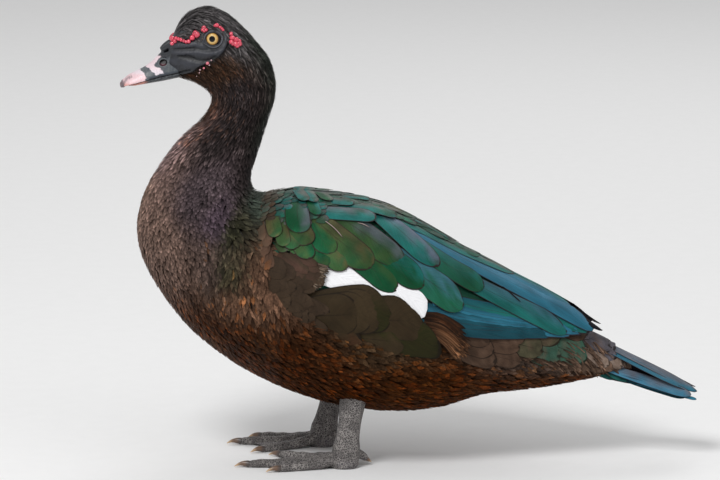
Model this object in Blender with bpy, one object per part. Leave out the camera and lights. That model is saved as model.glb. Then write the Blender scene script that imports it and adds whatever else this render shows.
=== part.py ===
"""A muscovy duck, life size, standing on both webbed feet.

Metres, +Z up. The bird faces -X and its left side is at -Y. It stands on z = 0, with
the middle of its length and width at the origin. Sizes below are in millimetres.
"""
import math
import random

import bpy
import bmesh
import numpy as np

MM = 0.001
GAP = 0.3
LEFT, RIGHT = -1, 1
SIDES = ((LEFT, "left"), (RIGHT, "right"))

# The body is a row of upright slices from tail to bill base. Each slice runs from a point
# on the back to a point on the belly: back x, back z, belly x, belly z, half width.
SLICES = (
    (191, 90, 188, 76, 12),
    (168, 101, 165, 71.5, 22),
    (140, 117, 134, 65, 33),
    (105, 138, 98, 60, 47),
    (70, 158, 62, 56, 60),
    (35, 177, 28, 46, 71),
    (0, 195, -6, 42, 79),
    (-35, 211, -41, 44, 84),
    (-70, 222, -76, 51, 86),
    (-100, 226, -112, 64, 85),
    (-121, 228, -150, 84, 80),
    (-131, 231, -187, 113, 72),
    (-134, 235, -213, 146, 62),
    (-135, 241, -228, 175, 52),
    (-134, 248, -232, 201, 43),
    (-131.5, 256, -226, 228, 35.5),
    (-128, 266, -212, 254, 30),
    (-124, 278, -195, 276, 27),
    (-120, 291, -177.5, 292, 25),
    (-116, 304, -169.5, 304, 24),
    (-114, 317, -169.5, 313, 23.5),
    (-115, 329, -176, 319.5, 23.5),
    (-119.5, 343.5, -183, 323.5, 23.5),
    (-129.5, 357, -189, 325.5, 23.5),
    (-140.5, 369.5, -194, 327, 23),
    (-155, 382, -198, 328.5, 21.5),
    (-171, 388, -201.5, 330.5, 19.5),
    (-186.5, 383, -204, 333, 16.5),
    (-196, 372, -205.5, 336, 13.5),
    (-201.5, 360.5, -206.5, 339, 12),
)
TAIL_SLICE, NECK_SLICE, HEAD_SLICE, BILL_SLICE = 1, 12.5, 18.5, 29
BROAD_LOW = 0.12  # how much wider a slice of the trunk is below its middle than above

# The folded wing is a sheet over the trunk: x, top z, half width, z where it is widest.
WING_SLICES = (
    (-155, 216, 58, 150),
    (-130, 230, 74, 150),
    (-100, 236.5, 85, 146),
    (-65, 233, 90, 138),
    (-30, 226, 90, 131),
    (5, 211, 85, 124),
    (40, 190, 75, 117),
    (75, 170, 61, 112),
    (110, 150, 45, 108),
    (140, 133, 31, 106),
    (165, 117, 20, 104),
)
SHEET_OUTER, SHEET_INNER = -2.5, -15
VANE_THICK = 1.0

EYE_X, EYE_Z, EYE_RADIUS, LID_RADIUS = -165.9, 362.2, 7.6, 6.4
SHANK_TOP, ANKLE_Z = 75, 19


def clear_scene():
    for obj in list(bpy.data.objects):
        bpy.data.objects.remove(obj)


def material(name, colour, roughness, metallic=0.0):
    made = bpy.data.materials.new(name)
    made.use_nodes = True
    shader = made.node_tree.nodes["Principled BSDF"]
    shader.inputs["Base Color"].default_value = (*colour, 1)
    shader.inputs["Roughness"].default_value = roughness
    shader.inputs["Metallic"].default_value = metallic
    return made


def smooth(table, at):
    """Values of a table's columns between its rows, by a Catmull-Rom curve."""
    rows = np.array(table, float)
    at = np.clip(np.asarray(at, float), 0, len(rows) - 1)
    low = np.minimum(at.astype(int), len(rows) - 2)
    t = (at - low)[..., None]
    a = rows[np.maximum(low - 1, 0)]
    b = rows[low]
    c = rows[low + 1]
    d = rows[np.minimum(low + 2, len(rows) - 1)]
    return b + 0.5 * t * (c - a + t * (2 * a - 5 * b + 4 * c - d + t * (3 * (b - c) + d - a)))


def body_point(at, angle, swell=0.0):
    """A point on the body: slice number, angle from the back (left positive), mm outwards."""
    at = np.asarray(at, float)
    angle = np.asarray(angle, float)
    back_x, back_z, belly_x, belly_z, half = np.moveaxis(smooth(SLICES, at), -1, 0)
    deep_x, deep_z = (back_x - belly_x) / 2, (back_z - belly_z) / 2
    deep = np.hypot(deep_x, deep_z)
    grown = (deep + swell) / deep
    egg = BROAD_LOW * np.clip((NECK_SLICE - at) / 3, 0, 1)
    x = (back_x + belly_x) / 2 + deep_x * grown * np.cos(angle)
    y = -(half + swell) * np.sin(angle) * (1 - egg * np.cos(angle))
    z = (back_z + belly_z) / 2 + deep_z * grown * np.cos(angle)
    return np.stack(np.broadcast_arrays(x, y, z), axis=-1)


def slice_normal(at):
    """The direction square to a slice, towards the bill."""
    back_x, back_z, belly_x, belly_z, _ = smooth(SLICES, at)
    along = np.array([-(back_z - belly_z), 0, back_x - belly_x])
    return along / np.linalg.norm(along)


def wing_point(x, arc, side, lift=0.0):
    """A point on the folded wing: x, mm of arc down from the ridge of the back, mm outwards."""
    x = np.asarray(x, float)
    stations = [row[0] for row in WING_SLICES]
    at = np.interp(x, stations, range(len(stations)))
    _, top, half, middle = np.moveaxis(smooth(WING_SLICES, at), -1, 0)
    deep = top - middle
    angle = np.asarray(arc, float) / ((deep + half) / 2)
    y = side * (half + lift) * np.sin(angle)
    z = middle + (deep + lift) * np.cos(angle)
    return np.stack(np.broadcast_arrays(x, y, z), axis=-1)


def tail_point(back, across, side, lift=0.0):
    """A point on the fan of the tail: mm behind its root, mm from its middle, mm above it."""
    pitch, drop, root_x, root_z = math.radians(23), 0.0095, 150, 102.5
    back = np.asarray(back, float)
    across = np.asarray(across, float)
    x = root_x + back * math.cos(pitch) + lift * math.sin(pitch)
    z = root_z - back * math.sin(pitch) - drop * across**2 + lift * math.cos(pitch)
    return np.stack(np.broadcast_arrays(x, side * across, z), axis=-1)


def mesh_object(name, points, faces):
    """An object from points in millimetres, with its faces turned outwards."""
    mesh = bpy.data.meshes.new(name)
    mesh.from_pydata([tuple(p) for p in np.asarray(points) * MM], [], faces)
    work = bmesh.new()
    work.from_mesh(mesh)
    bmesh.ops.triangulate(work, faces=[f for f in work.faces if len(f.verts) > 4])
    bmesh.ops.recalc_face_normals(work, faces=work.faces)
    work.to_mesh(mesh)
    work.free()
    obj = bpy.data.objects.new(name, mesh)
    return obj


def loft(name, rings):
    """A closed solid through rings of points, with a flat cap on each end."""
    rings = np.asarray(rings, float)
    count, around = rings.shape[:2]
    faces = [tuple(range(around)), tuple((count - 1) * around + k for k in range(around))]
    for i in range(count - 1):
        for k in range(around):
            here, after = i * around + k, i * around + (k + 1) % around
            faces.append((here, after, after + around, here + around))
    return mesh_object(name, rings.reshape(-1, 3), faces)


def body_solid(name, first, last, steps, around, swell=0.0, draw_in=(0.0, 0.0)):
    """A length of the body between two slices; draw_in moves its ends in by that many mm."""
    slices = np.linspace(first, last, steps)
    angles = np.arange(around) * 2 * math.pi / around
    rings = body_point(slices[:, None], angles[None, :], swell)
    rings[0] += slice_normal(first) * draw_in[0]
    rings[-1] -= slice_normal(last) * draw_in[1]
    return loft(name, rings)


def tube(name, path, radii, around=10, flat=1.0):
    """A solid of round or oval rings along a path; flat is its height over its width."""
    path = np.asarray(path, float)
    ahead = np.gradient(path, axis=0)
    ahead /= np.linalg.norm(ahead, axis=1, keepdims=True)
    up = np.array([0.0, 0.0, 1.0]) if abs(ahead[0, 2]) < 0.8 else np.array([-1.0, 0.0, 0.0])
    rings = []
    for centre, way, radius in zip(path, ahead, radii):
        aside = np.cross(way, up)
        aside /= np.linalg.norm(aside)
        over = np.cross(aside, way)
        rings.append([
            centre + radius * (aside * math.cos(t) + over * flat * math.sin(t))
            for t in (2 * math.pi * k / around for k in range(around))
        ])
    return loft(name, rings)


def ball(name, centre, radii, segments=8, rings=6):
    mesh = bpy.data.meshes.new(name)
    work = bmesh.new()
    bmesh.ops.create_uvsphere(work, u_segments=segments, v_segments=rings, radius=1)
    bmesh.ops.scale(work, verts=work.verts, vec=[r * MM for r in radii])
    bmesh.ops.translate(work, verts=work.verts, vec=[c * MM for c in centre])
    work.to_mesh(mesh)
    work.free()
    return bpy.data.objects.new(name, mesh)


def vane(name, surface, root, heading, length, half, lifts, round_from=0.6, steps=5, thick=VANE_THICK):
    """A feather's vane laid over a surface, from its root along a heading, with a rounded tip."""
    near = [0, 0.3, 0.55, 0.75, 0.9, 1.0] if steps == 5 else [0, 0.42, 0.78, 1.0]
    across = ((-1, -0.35), (0, 0.35), (1, -0.35)) if half > 10.5 else ((-1, 0), (1, 0))
    wide_by = len(across)
    points = []
    for v in near:
        tip = max(0.0, (v - round_from) / (1 - round_from))
        wide = half * (0.5 + 0.5 * math.sin(min(v / 0.5, 1) * math.pi / 2))
        wide *= max(0.16, math.sqrt(max(0.0, 1 - tip**2.2)))
        lift = lifts[0] + (lifts[1] - lifts[0]) * v**0.8
        for layer in (-thick / 2, thick / 2):
            for share, crown in across:
                c = share * wide
                a = root[0] + length * v * math.cos(heading) - c * math.sin(heading)
                b = root[1] + length * v * math.sin(heading) + c * math.cos(heading)
                points.append(surface(a, b, lift + layer + crown))
    ring = 2 * wide_by
    faces = []
    for i in range(len(near)):
        a, b = i * ring, (i + 1) * ring
        for k in range(wide_by - 1):
            if i in (0, len(near) - 1):
                faces.append((a + k, a + k + 1, a + k + 1 + wide_by, a + k + wide_by))
            if i < len(near) - 1:
                faces.append((a + k, b + k, b + k + 1, a + k + 1))
                faces.append((a + k + wide_by, a + k + wide_by + 1, b + k + wide_by + 1, b + k + wide_by))
        if i < len(near) - 1:
            for k in (0, wide_by - 1):
                faces.append((a + k, a + k + wide_by, b + k + wide_by, b + k))
    made = mesh_object(name, points, faces)
    work = bmesh.new()
    work.from_mesh(made.data)
    bmesh.ops.triangulate(work, faces=work.faces, quad_method="FIXED")
    work.to_mesh(made.data)
    work.free()
    return made


def take_modifiers(obj):
    """Applies an object's modifiers and returns it."""
    graph = bpy.context.evaluated_depsgraph_get()
    mesh = bpy.data.meshes.new_from_object(obj.evaluated_get(graph))
    obj.modifiers.clear()
    obj.data = mesh
    return obj


def add_boolean(obj, operation, other):
    modifier = obj.modifiers.new(operation.title(), "BOOLEAN")
    modifier.operation = operation
    modifier.solver = "MANIFOLD"
    if isinstance(other, bpy.types.Collection):
        modifier.operand_type = "COLLECTION"
        modifier.collection = other
    else:
        modifier.object = other


def keep_largest(obj):
    """Leaves an object only its largest closed surface."""
    work = bmesh.new()
    work.from_mesh(obj.data)
    bmesh.ops.triangulate(work, faces=work.faces)
    work.faces.ensure_lookup_table()
    unseen = set(work.faces)
    shells = []
    while unseen:
        shell, edge = set(), [unseen.pop()]
        while edge:
            face = edge.pop()
            shell.add(face)
            near = {f for e in face.edges for f in e.link_faces} & unseen
            unseen -= near
            edge.extend(near)
        size = sum(f.verts[0].co.dot(f.verts[1].co.cross(f.verts[2].co)) for f in shell)
        shells.append((size, shell))
    shells.sort(key=lambda pair: -pair[0])
    scraps = [face for _, shell in shells[1:] for face in shell]
    bmesh.ops.delete(work, geom=scraps, context="FACES")
    work.to_mesh(obj.data)
    work.free()


def fuse(base, pieces=(), cutters=()):
    """Joins pieces to a base by one union, takes the cutters away, and keeps one closed body."""
    scene = bpy.context.scene.collection
    if base.name not in scene.objects:
        scene.objects.link(base)
    if pieces:
        group = bpy.data.collections.new(base.name + "_pieces")
        scene.children.link(group)
        for piece in pieces:
            group.objects.link(piece)
        add_boolean(base, "UNION", group)
        take_modifiers(base)
        for piece in pieces:
            bpy.data.objects.remove(piece)
        bpy.data.collections.remove(group)
    for cutter in cutters:
        scene.objects.link(cutter)
        add_boolean(base, "DIFFERENCE", cutter)
        take_modifiers(base)
        bpy.data.objects.remove(cutter)
    keep_largest(base)
    return base


def finish(obj, paint, round_angle=40):
    """Paints and shades a finished node."""
    obj.data.materials.clear()
    obj.data.materials.append(paint)
    obj.data.shade_smooth()
    obj.data.set_sharp_from_angle(angle=math.radians(round_angle))
    parts = bpy.data.collections.get("muscovy_duck")
    bpy.context.scene.collection.objects.unlink(obj)
    parts.objects.link(obj)
    return obj


def on_side(x, z, side):
    """The slice and angle of the body's surface that lies at this x and z, seen from a side."""
    at = np.linspace(HEAD_SLICE, BILL_SLICE, 421)
    back_x, back_z, belly_x, belly_z, _ = np.moveaxis(smooth(SLICES, at), -1, 0)
    way = np.stack([back_x - belly_x, back_z - belly_z], axis=1)
    off = np.stack([x - belly_x, z - belly_z], axis=1)
    square = way[:, 0] * off[:, 1] - way[:, 1] * off[:, 0]
    k = int(np.argmin(np.abs(square / np.linalg.norm(way, axis=1))))
    share = float((way[k] @ off[k]) / (way[k] @ way[k]))
    angle = math.acos(max(-1.0, min(1.0, 2 * share - 1)))
    return at[k], -side * angle


def torso_cutter(swell=GAP + 0.05):
    return body_solid("torso_room", TAIL_SLICE - 0.2, NECK_SLICE + 0.2, 19, 24, swell)


def other_half(side):
    """The space across the middle of the bird, to keep a wing on its own side."""
    near, far = side * GAP, -side * 150
    return loft(f"beyond_{side}", [[(x, near, 20), (x, far, 20), (x, far, 320), (x, near, 320)] for x in (-220, 280)])


def torso(paint):
    """The trunk from tail root to neck, under the wings."""
    body = body_solid("torso", TAIL_SLICE, NECK_SLICE, 21, 24)
    return finish(fuse(body), paint)


def neck(paint):
    """The neck, cut square to its run at both ends."""
    body = body_solid("neck", NECK_SLICE, HEAD_SLICE, 11, 20, draw_in=(GAP, 0))
    return finish(fuse(body), paint)


def crest_locks():
    """Crown and nape feathers as flat locks, each laid back over the head."""
    random.seed(4)
    locks = []
    for row, (at, count, spread, length) in enumerate(
        ((27.8, 2, 0.5, 22), (26.5, 3, 0.95, 25), (25.2, 4, 1.15, 26), (23.9, 4, 1.2, 27), (22.6, 3, 1.1, 27),
         (21.4, 3, 0.9, 24))
    ):
        for k in range(count):
            angle = spread * (2 * (k + 0.5 * (row % 2)) / (count - 0.5) - 1) * 0.95
            wide = random.uniform(4.6, 5.6)
            reach = length * random.uniform(0.9, 1.1)
            locks.append(lock(f"lock_{row}_{k}", at, angle, reach, wide))
    return locks


def lock(name, at, angle, length, wide):
    """One tapered lock that starts in the head at a slice and runs back down the nape."""
    steps, here, points = 2, at, []
    for k in range(steps + 1):
        v = k / steps
        half = wide * (1 - 0.8 * v**1.5) * (0.7 + 0.3 * min(1, 3 * v))
        lift = -1.6 + 3.0 * v
        centre = body_point(here, angle, 0)
        radius = max(6.0, float(np.hypot(centre[1], 12)))
        for layer in (-0.7, 0.7):
            for c in (-half, half):
                points.append(body_point(here, angle + c / radius, lift + layer * (1 - 0.4 * v)))
        ahead = body_point(here - 0.2, angle, 0) - centre
        here -= 0.2 * (length / steps) / max(0.5, float(np.linalg.norm(ahead)))
        here = max(here, HEAD_SLICE + 0.3)
    faces = [(0, 1, 3, 2), (4 * steps, 4 * steps + 2, 4 * steps + 3, 4 * steps + 1)]
    for i in range(steps):
        a = 4 * i
        for p, q in ((0, 1), (1, 3), (3, 2), (2, 0)):
            faces.append((a + p, a + q, a + q + 4, a + p + 4))
    return mesh_object(name, points, faces)


# The strings of caruncles on each side of the face: points along each, beads, bead radius.
CARUNCLES = {
    "forehead": (((-201, 358.5), (-198, 363), (-191.5, 361.5), (-186, 361)), 6, 2.2),
    "brow": (((-184, 363.5), (-180, 367), (-173, 370.5)), 3, 2.8),
    "over_eye": (((-167.5, 373.5), (-163.5, 373), (-158, 369.5)), 3, 1.8),
    "behind_eye": (((-151.5, 366), (-149.5, 362), (-145, 357.5)), 4, 2.9),
    "gape": (((-170, 342.5), (-178, 335)), 2, 1.6),
}


def caruncles(side):
    """Rows of fleshy beads round the eye and over the bill, each sunk in the skin."""
    random.seed(11)
    beads = []
    for place, (line, count, radius) in CARUNCLES.items():
        for k in range(count):
            x, z = smooth(line, (len(line) - 1) * k / (count - 1))
            x += random.uniform(-0.5, 0.5)
            z += random.uniform(-0.7, 0.7)
            at, angle = on_side(x, z, side)
            size = radius * random.uniform(0.85, 1.15)
            centre = body_point(at, angle, 0.15 * size)
            beads.append(ball(f"{place}_{side}_{k}", centre, (size,) * 3, 6, 4))
    return beads


def eye_centre(side):
    at, angle = on_side(EYE_X, EYE_Z, side)
    surface = body_point(at, angle)
    sunk = math.sqrt(EYE_RADIUS**2 - LID_RADIUS**2)
    return surface - np.array([0, side * (sunk - 0.9), 0]), surface


def lid_ring(side):
    """The bare ring of both lids round the eye."""
    _, surface = eye_centre(side)
    around, rings = 14, []
    for k in range(around):
        t = 2 * math.pi * k / around
        middle = surface + (LID_RADIUS + 1.0) * np.array([math.cos(t), 0, math.sin(t) * 0.94])
        middle[1] = body_point(*on_side(middle[0], middle[2], side))[1] + side * 0.2
        out = np.array([math.cos(t), 0, math.sin(t)])
        rings.append([
            middle + 1.35 * (out * math.cos(u) + np.array([0, side, 0]) * math.sin(u))
            for u in (2 * math.pi * j / 6 for j in range(6))
        ])
    points = np.array(rings).reshape(-1, 3)
    faces = []
    for k in range(around):
        for j in range(6):
            a, b = k * 6, ((k + 1) % around) * 6
            faces.append((a + j, a + (j + 1) % 6, b + (j + 1) % 6, b + j))
    return mesh_object(f"lid_{side}", points, faces)


def mouth_groove(side):
    """A thin slot from the bill base back to the corner of the mouth."""
    low, high, deep = (-210, 329.2), (-186, 336.2), 3.0
    rings = []
    for x, z in (low, high):
        at, angle = on_side(x, z, side)
        y = body_point(at, angle)[1]
        rings.append([(x, y - side * deep, z - 0.6), (x, y + side * 6, z - 0.6),
                      (x, y + side * 6, z + 0.6), (x, y - side * deep, z + 0.6)])
    return loft(f"mouth_{side}", rings)


def head(paint):
    """The head: crown, face, crest locks, lids, caruncles and the corners of the mouth."""
    body = body_solid("head", HEAD_SLICE, BILL_SLICE, 18, 20, draw_in=(GAP, 0))
    pieces = crest_locks()
    cutters = []
    for side, _ in SIDES:
        pieces += caruncles(side)
        pieces.append(lid_ring(side))
        centre, _ = eye_centre(side)
        cutters.append(ball(f"socket_{side}", centre, (EYE_RADIUS + GAP,) * 3, 14, 8))
        cutters.append(mouth_groove(side))
    return finish(fuse(body, pieces, cutters), paint)


def head_room(swell=GAP):
    """The space that the plain head takes, to cut a neighbour by."""
    return body_solid("head_room", HEAD_SLICE, BILL_SLICE, 18, 20, swell, draw_in=(0, -GAP))


def eyes(paint):
    for side, word in SIDES:
        centre, _ = eye_centre(side)
        finish(fuse(ball(f"eye_{word}", centre, (EYE_RADIUS,) * 3, 14, 8)), paint)


# The upper bill, from forehead to nail: x, top z, edge z, half width.
BILL_SLICES = (
    (-195, 360, 333, 12.6),
    (-203, 355.5, 331.3, 12.8),
    (-209, 350.5, 330, 12.6),
    (-214, 345.7, 328.6, 12.2),
    (-219, 340.8, 327.2, 11.9),
    (-225, 336.6, 325.6, 11.9),
    (-231, 333.5, 324, 12.3),
    (-237, 330.5, 322.4, 12.1),
    (-241, 327.3, 321, 10.2),
    (-243.5, 323.7, 319.6, 6.6),
    (-244.7, 320.6, 318.2, 3),
)


def bill_rings(last, count, around, top, bottom, narrow):
    """Arched rings of a mandible: top and bottom give each ring's heights from its slice."""
    rings = []
    for at in np.linspace(0, last, count):
        x, crown, edge, half = smooth(BILL_SLICES, at)
        high, low = top(x, crown, edge), bottom(x, crown, edge)
        ring = []
        for k in range(around):
            t = math.pi * (k / (around - 1) - 0.5)
            arch = math.cos(t) ** 1.15 if math.cos(t) > 1e-6 else 0
            ring.append((x, (half - narrow) * math.sin(t), low + (high - low) * arch))
        for k in (0.5, 0, -0.5):
            ring.append((x, (half - narrow) * 0.86 * k * 1.3, low + 0.25 * (high - low) * (0.5 - abs(k))))
        rings.append(ring)
    return rings


def bill(paint, under_paint):
    """Both mandibles, the upper with its pierced nostrils and hooked nail."""
    upper = loft("bill_upper", bill_rings(10, 12, 11, lambda x, c, e: c, lambda x, c, e: e, 0))
    hump = [ball(f"nostril_hump_{side}", (-205.5, side * 4.4, 351.5), (7, 4, 3.8), 8, 6) for side, _ in SIDES]
    nail = [ball("nail", (-242.2, 0, 321.4), (3.4, 4.6, 4.0), 8, 6)]
    holes = [ball(f"nostril_{side}", (-209.8, side * 9.8, 342), (3.3, 3.6, 1.8), 8, 6) for side, _ in SIDES]
    finish(fuse(upper, hump + nail, holes + [head_room()]), paint)
    under = loft("bill_lower", bill_rings(
        7.1, 9, 9, lambda x, c, e: e - 1.8 - 3.4 * min(1, (x + 239) / 30), lambda x, c, e: e - 0.5, 0.9))
    finish(fuse(under, [], [head_room()]), under_paint)


# Rows of feathers on a wing: feathers, first root (x, arc), last root, headings in degrees,
# lengths, half widths, lifts of root and tip, where the tip starts to round.
WING_ROWS = {
    "primary": (2, (52, 26), (52, 36), (-7, -11), (113, 104), (6.5, 7), (-5.2, -3.6), 0.72),
    "secondary": (4, (-6, 104), (50, 87), (0, -30), (61, 74), (10.4, 10.4), (-4.2, -2.8), 0.75),
    "tertial": (4, (5, 30), (48, 62), (-16, -16), (98, 86), (12, 12), (-3.8, -0.9), 0.7),
    "greater_covert": (4, (-86, 80), (10, 73), (36, 12), (36, 46), (14, 17), (-3.6, -0.6), 0.45),
    "median_covert": (5, (-78, 57), (6, 41), (38, 7), (50, 62), (13, 15), (-3.4, 0.3), 0.6),
    "scapular": (5, (-88, 38), (0, 30), (14, 2), (38, 48), (10, 10.5), (-3.2, 0.8), 0.55),
    "top_scapular": (5, (-118, 22), (-5, 17), (0, -8), (42, 66), (8, 8.5), (-3.2, 0.6), 0.6),
    "front_covert": (4, (-133, 38), (-121, 92), (60, 48), (26, 28), (9.5, 10), (-3.4, 0.2), 0.45),
    "lesser_covert": (4, (-114, 42), (-101, 86), (56, 42), (26, 29), (9.5, 10), (-3.2, 0.5), 0.45),
}
# The sheet that carries them: x, arc at its upper edge, arc at its lower edge.
WING_SHEET = (
    (-149, 48, 76), (-143, 30, 98), (-132, 22, 112), (-110, 19, 119), (-80, 17, 121), (-50, 16, 121),
    (-20, 15, 120), (5, 15, 117), (25, 16, 108), (45, 19, 96), (62, 22, 80), (74, 26, 62),
)


def wing_sheet(name, side):
    """The feathered arm as a closed sheet over the flank, deep enough to reach the trunk."""
    across, loops = 7, []
    for x, high, low in WING_SHEET:
        arcs = np.linspace(high, low, across)
        edge = np.array([-1.6] + [0.0] * (across - 2) + [-1.6])
        outer = wing_point(x, arcs, side, SHEET_OUTER + edge)
        inner = wing_point(x, arcs[::-1], side, SHEET_INNER if x < 40 else SHEET_INNER + (x - 40) * 0.2)
        loops.append(np.concatenate([outer, inner]))
    return loft(name, loops)


def wing(side, word, paint):
    """A folded wing: the sheet of the arm with its tiers of coverts and flight feathers."""
    random.seed(21 + side)
    pieces = []

    def surface(x, arc, lift):
        return wing_point(x, arc, side, lift)

    for row, (count, first, last, headings, lengths, halves, lifts, rounding) in WING_ROWS.items():
        for k in range(count):
            t = k / (count - 1)
            root = [a + (b - a) * t + random.uniform(-1, 1) for a, b in zip(first, last)]
            heading = math.radians(headings[0] + (headings[1] - headings[0]) * t + random.uniform(-2, 2))
            length = lengths[0] + (lengths[1] - lengths[0]) * t
            half = halves[0] + (halves[1] - halves[0]) * t
            layer = tuple(lift + 0.25 * (k % 2) for lift in lifts)
            steps = 5 if length > 45 else 4
            pieces.append(vane(f"{row}_{word}_{k}", surface, root, heading, length, half, layer, rounding, steps))
    return finish(fuse(wing_sheet(f"wing_{word}", side), pieces, [torso_cutter(), other_half(side)]), paint)


def tail(paint):
    """The tail: its root, six pairs of tail feathers in a low tent, and coverts over and under."""
    root = body_solid("tail", 0.0, TAIL_SLICE, 5, 20, draw_in=(0, GAP))
    pieces = []
    for side, word in SIDES:

        def surface(back, across, lift, side=side):
            return tail_point(back, across, side, lift)

        for k in range(6):
            start = (24 + 0.4 * k, 2.2 + 2.5 * k)
            heading = math.radians(1.5 + 3.4 * k)
            layer = -1.0 * k - 0.45 * (side == RIGHT)
            pieces.append(vane(f"rectrix_{word}_{k}", surface, start, heading, 80 - 4.4 * k, 10 - 0.2 * k,
                               (layer - 1.5, layer), 0.72, 5))
        for k in range(2):
            start = (21.5, 3.5 + 7.5 * k)
            pieces.append(vane(f"upper_covert_{word}_{k}", surface, start, math.radians(3 + 6 * k), 34 - 5 * k, 7,
                               (-2.5, 2.2 - 1.2 * k), 0.5, 4))
            start = (30, 3.5 + 6 * k)
            pieces.append(vane(f"under_covert_{word}_{k}", surface, start, math.radians(3 + 6 * k), 36 - 5 * k, 7,
                               (-17, -9.0), 0.5, 4))
    return finish(fuse(root, pieces), paint)


# Each leg: side, ankle x, top x of the shank, y, toes as (name, heading in degrees outwards, length).
LEGS = {
    "left": (LEFT, -54, -46, 44, (("outer", 17, 62), ("middle", 0, 86), ("inner", -33, 71))),
    "right": (RIGHT, -73, -58, 42, (("outer", 24, 64), ("middle", 3, 76), ("inner", -26, 62))),
}
TOE_ROOT, TOE_TIP, TOE_FLAT = 6.2, 3.6, 0.95
CLAW_LENGTH = 11
WEB_THICK = 1.6


def shank(word, paint):
    """The bare shank, oval in section, from the ankle up into the belly feathers."""
    side, ankle_x, top_x, aside, _ = LEGS[word]
    rings = []
    for z, deep, wide in ((ANKLE_Z + GAP, 11.5, 9), (28, 9.8, 7.6), (40, 9.8, 7.6), (52, 11, 8.6),
                          (62, 12.2, 9.6), (SHANK_TOP, 13, 10.5)):
        share = (z - ANKLE_Z) / (SHANK_TOP - ANKLE_Z)
        centre = (ankle_x + (top_x - ankle_x) * share, side * aside, z)
        rings.append([
            (centre[0] + deep * math.cos(t), centre[1] + wide * math.sin(t), z)
            for t in (2 * math.pi * k / 14 for k in range(14))
        ])
    return finish(fuse(loft(f"shank_{word}", rings), [], [torso_cutter()]), paint)


def toe_line(start, heading, length, side, steps=5):
    """Points along a toe's middle: from the ankle down to the floor and forward."""
    points = []
    for k in range(steps + 1):
        t = k / steps
        rise = 6.5 * (1 - t) ** 2 + 3.0
        wave = 0.5 * math.sin(t * math.pi * 3)
        points.append((start[0] - math.cos(heading) * length * t,
                       start[1] + side * math.sin(heading) * length * t, rise + wave))
    return points


def claw(name, start, heading, side, paint):
    """A curved claw beyond a toe's tip."""
    rings, radii = [], []
    for t in (0, 0.05, 0.35, 0.7, 1.0):
        bend = max(0.0, t - 0.05)
        rings.append((start[0] - math.cos(heading) * CLAW_LENGTH * t,
                      start[1] + side * math.sin(heading) * CLAW_LENGTH * t,
                      start[2] + 1.2 * math.sin(bend * 2.2) - 2.2 * bend * bend))
        radii.append(2.3 * (1 - 0.85 * t))
    return finish(fuse(tube(name, rings, radii, 8)), paint)


def web(name, start, side, near, far):
    """The skin between two toes, hollow along its free edge."""
    rows, cells = 5, 4
    points = []
    for layer in (0, 1):
        for j in range(cells + 1):
            v = j / cells
            heading = math.radians(near[1] + (far[1] - near[1]) * v)
            reach = (near[2] + (far[2] - near[2]) * v) * 0.94 * (1 - 0.2 * math.sin(math.pi * v))
            for i in range(rows + 1):
                u = 0.06 + 0.94 * i / rows
                x = start[0] - math.cos(heading) * reach * u
                y = start[1] + side * math.sin(heading) * reach * u
                z = 0.9 + 2.6 * (1 - u) + 0.9 * math.cos(v * math.pi * 2) * u + layer * WEB_THICK
                points.append((x, y, z))
    wide, half = rows + 1, (rows + 1) * (cells + 1)
    faces = []
    for j in range(cells):
        for i in range(rows):
            a = j * wide + i
            faces.append((a, a + 1, a + 1 + wide, a + wide))
            faces.append((half + a, half + a + wide, half + a + 1 + wide, half + a + 1))
    for j in range(cells):
        for i in (0, rows):
            a = j * wide + i
            faces.append((a, a + wide, half + a + wide, half + a))
    for i in range(rows):
        for j in (0, cells):
            a = j * wide + i
            faces.append((a, a + 1, half + a + 1, half + a))
    made = mesh_object(name, points, faces)
    work = bmesh.new()
    work.from_mesh(made.data)
    bmesh.ops.triangulate(work, faces=work.faces, quad_method="FIXED")
    work.to_mesh(made.data)
    work.free()
    return made


def cut_at_floor(obj):
    """Cuts a foot flat where it stands."""
    work = bmesh.new()
    work.from_mesh(obj.data)
    everything = list(work.verts) + list(work.edges) + list(work.faces)
    cut = bmesh.ops.bisect_plane(work, geom=everything, plane_co=(0, 0, 0), plane_no=(0, 0, -1), clear_outer=True)
    rim = [e for e in cut["geom_cut"] if isinstance(e, bmesh.types.BMEdge)]
    bmesh.ops.edgenet_fill(work, edges=rim)
    bmesh.ops.triangulate(work, faces=work.faces)
    work.to_mesh(obj.data)
    work.free()


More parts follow.
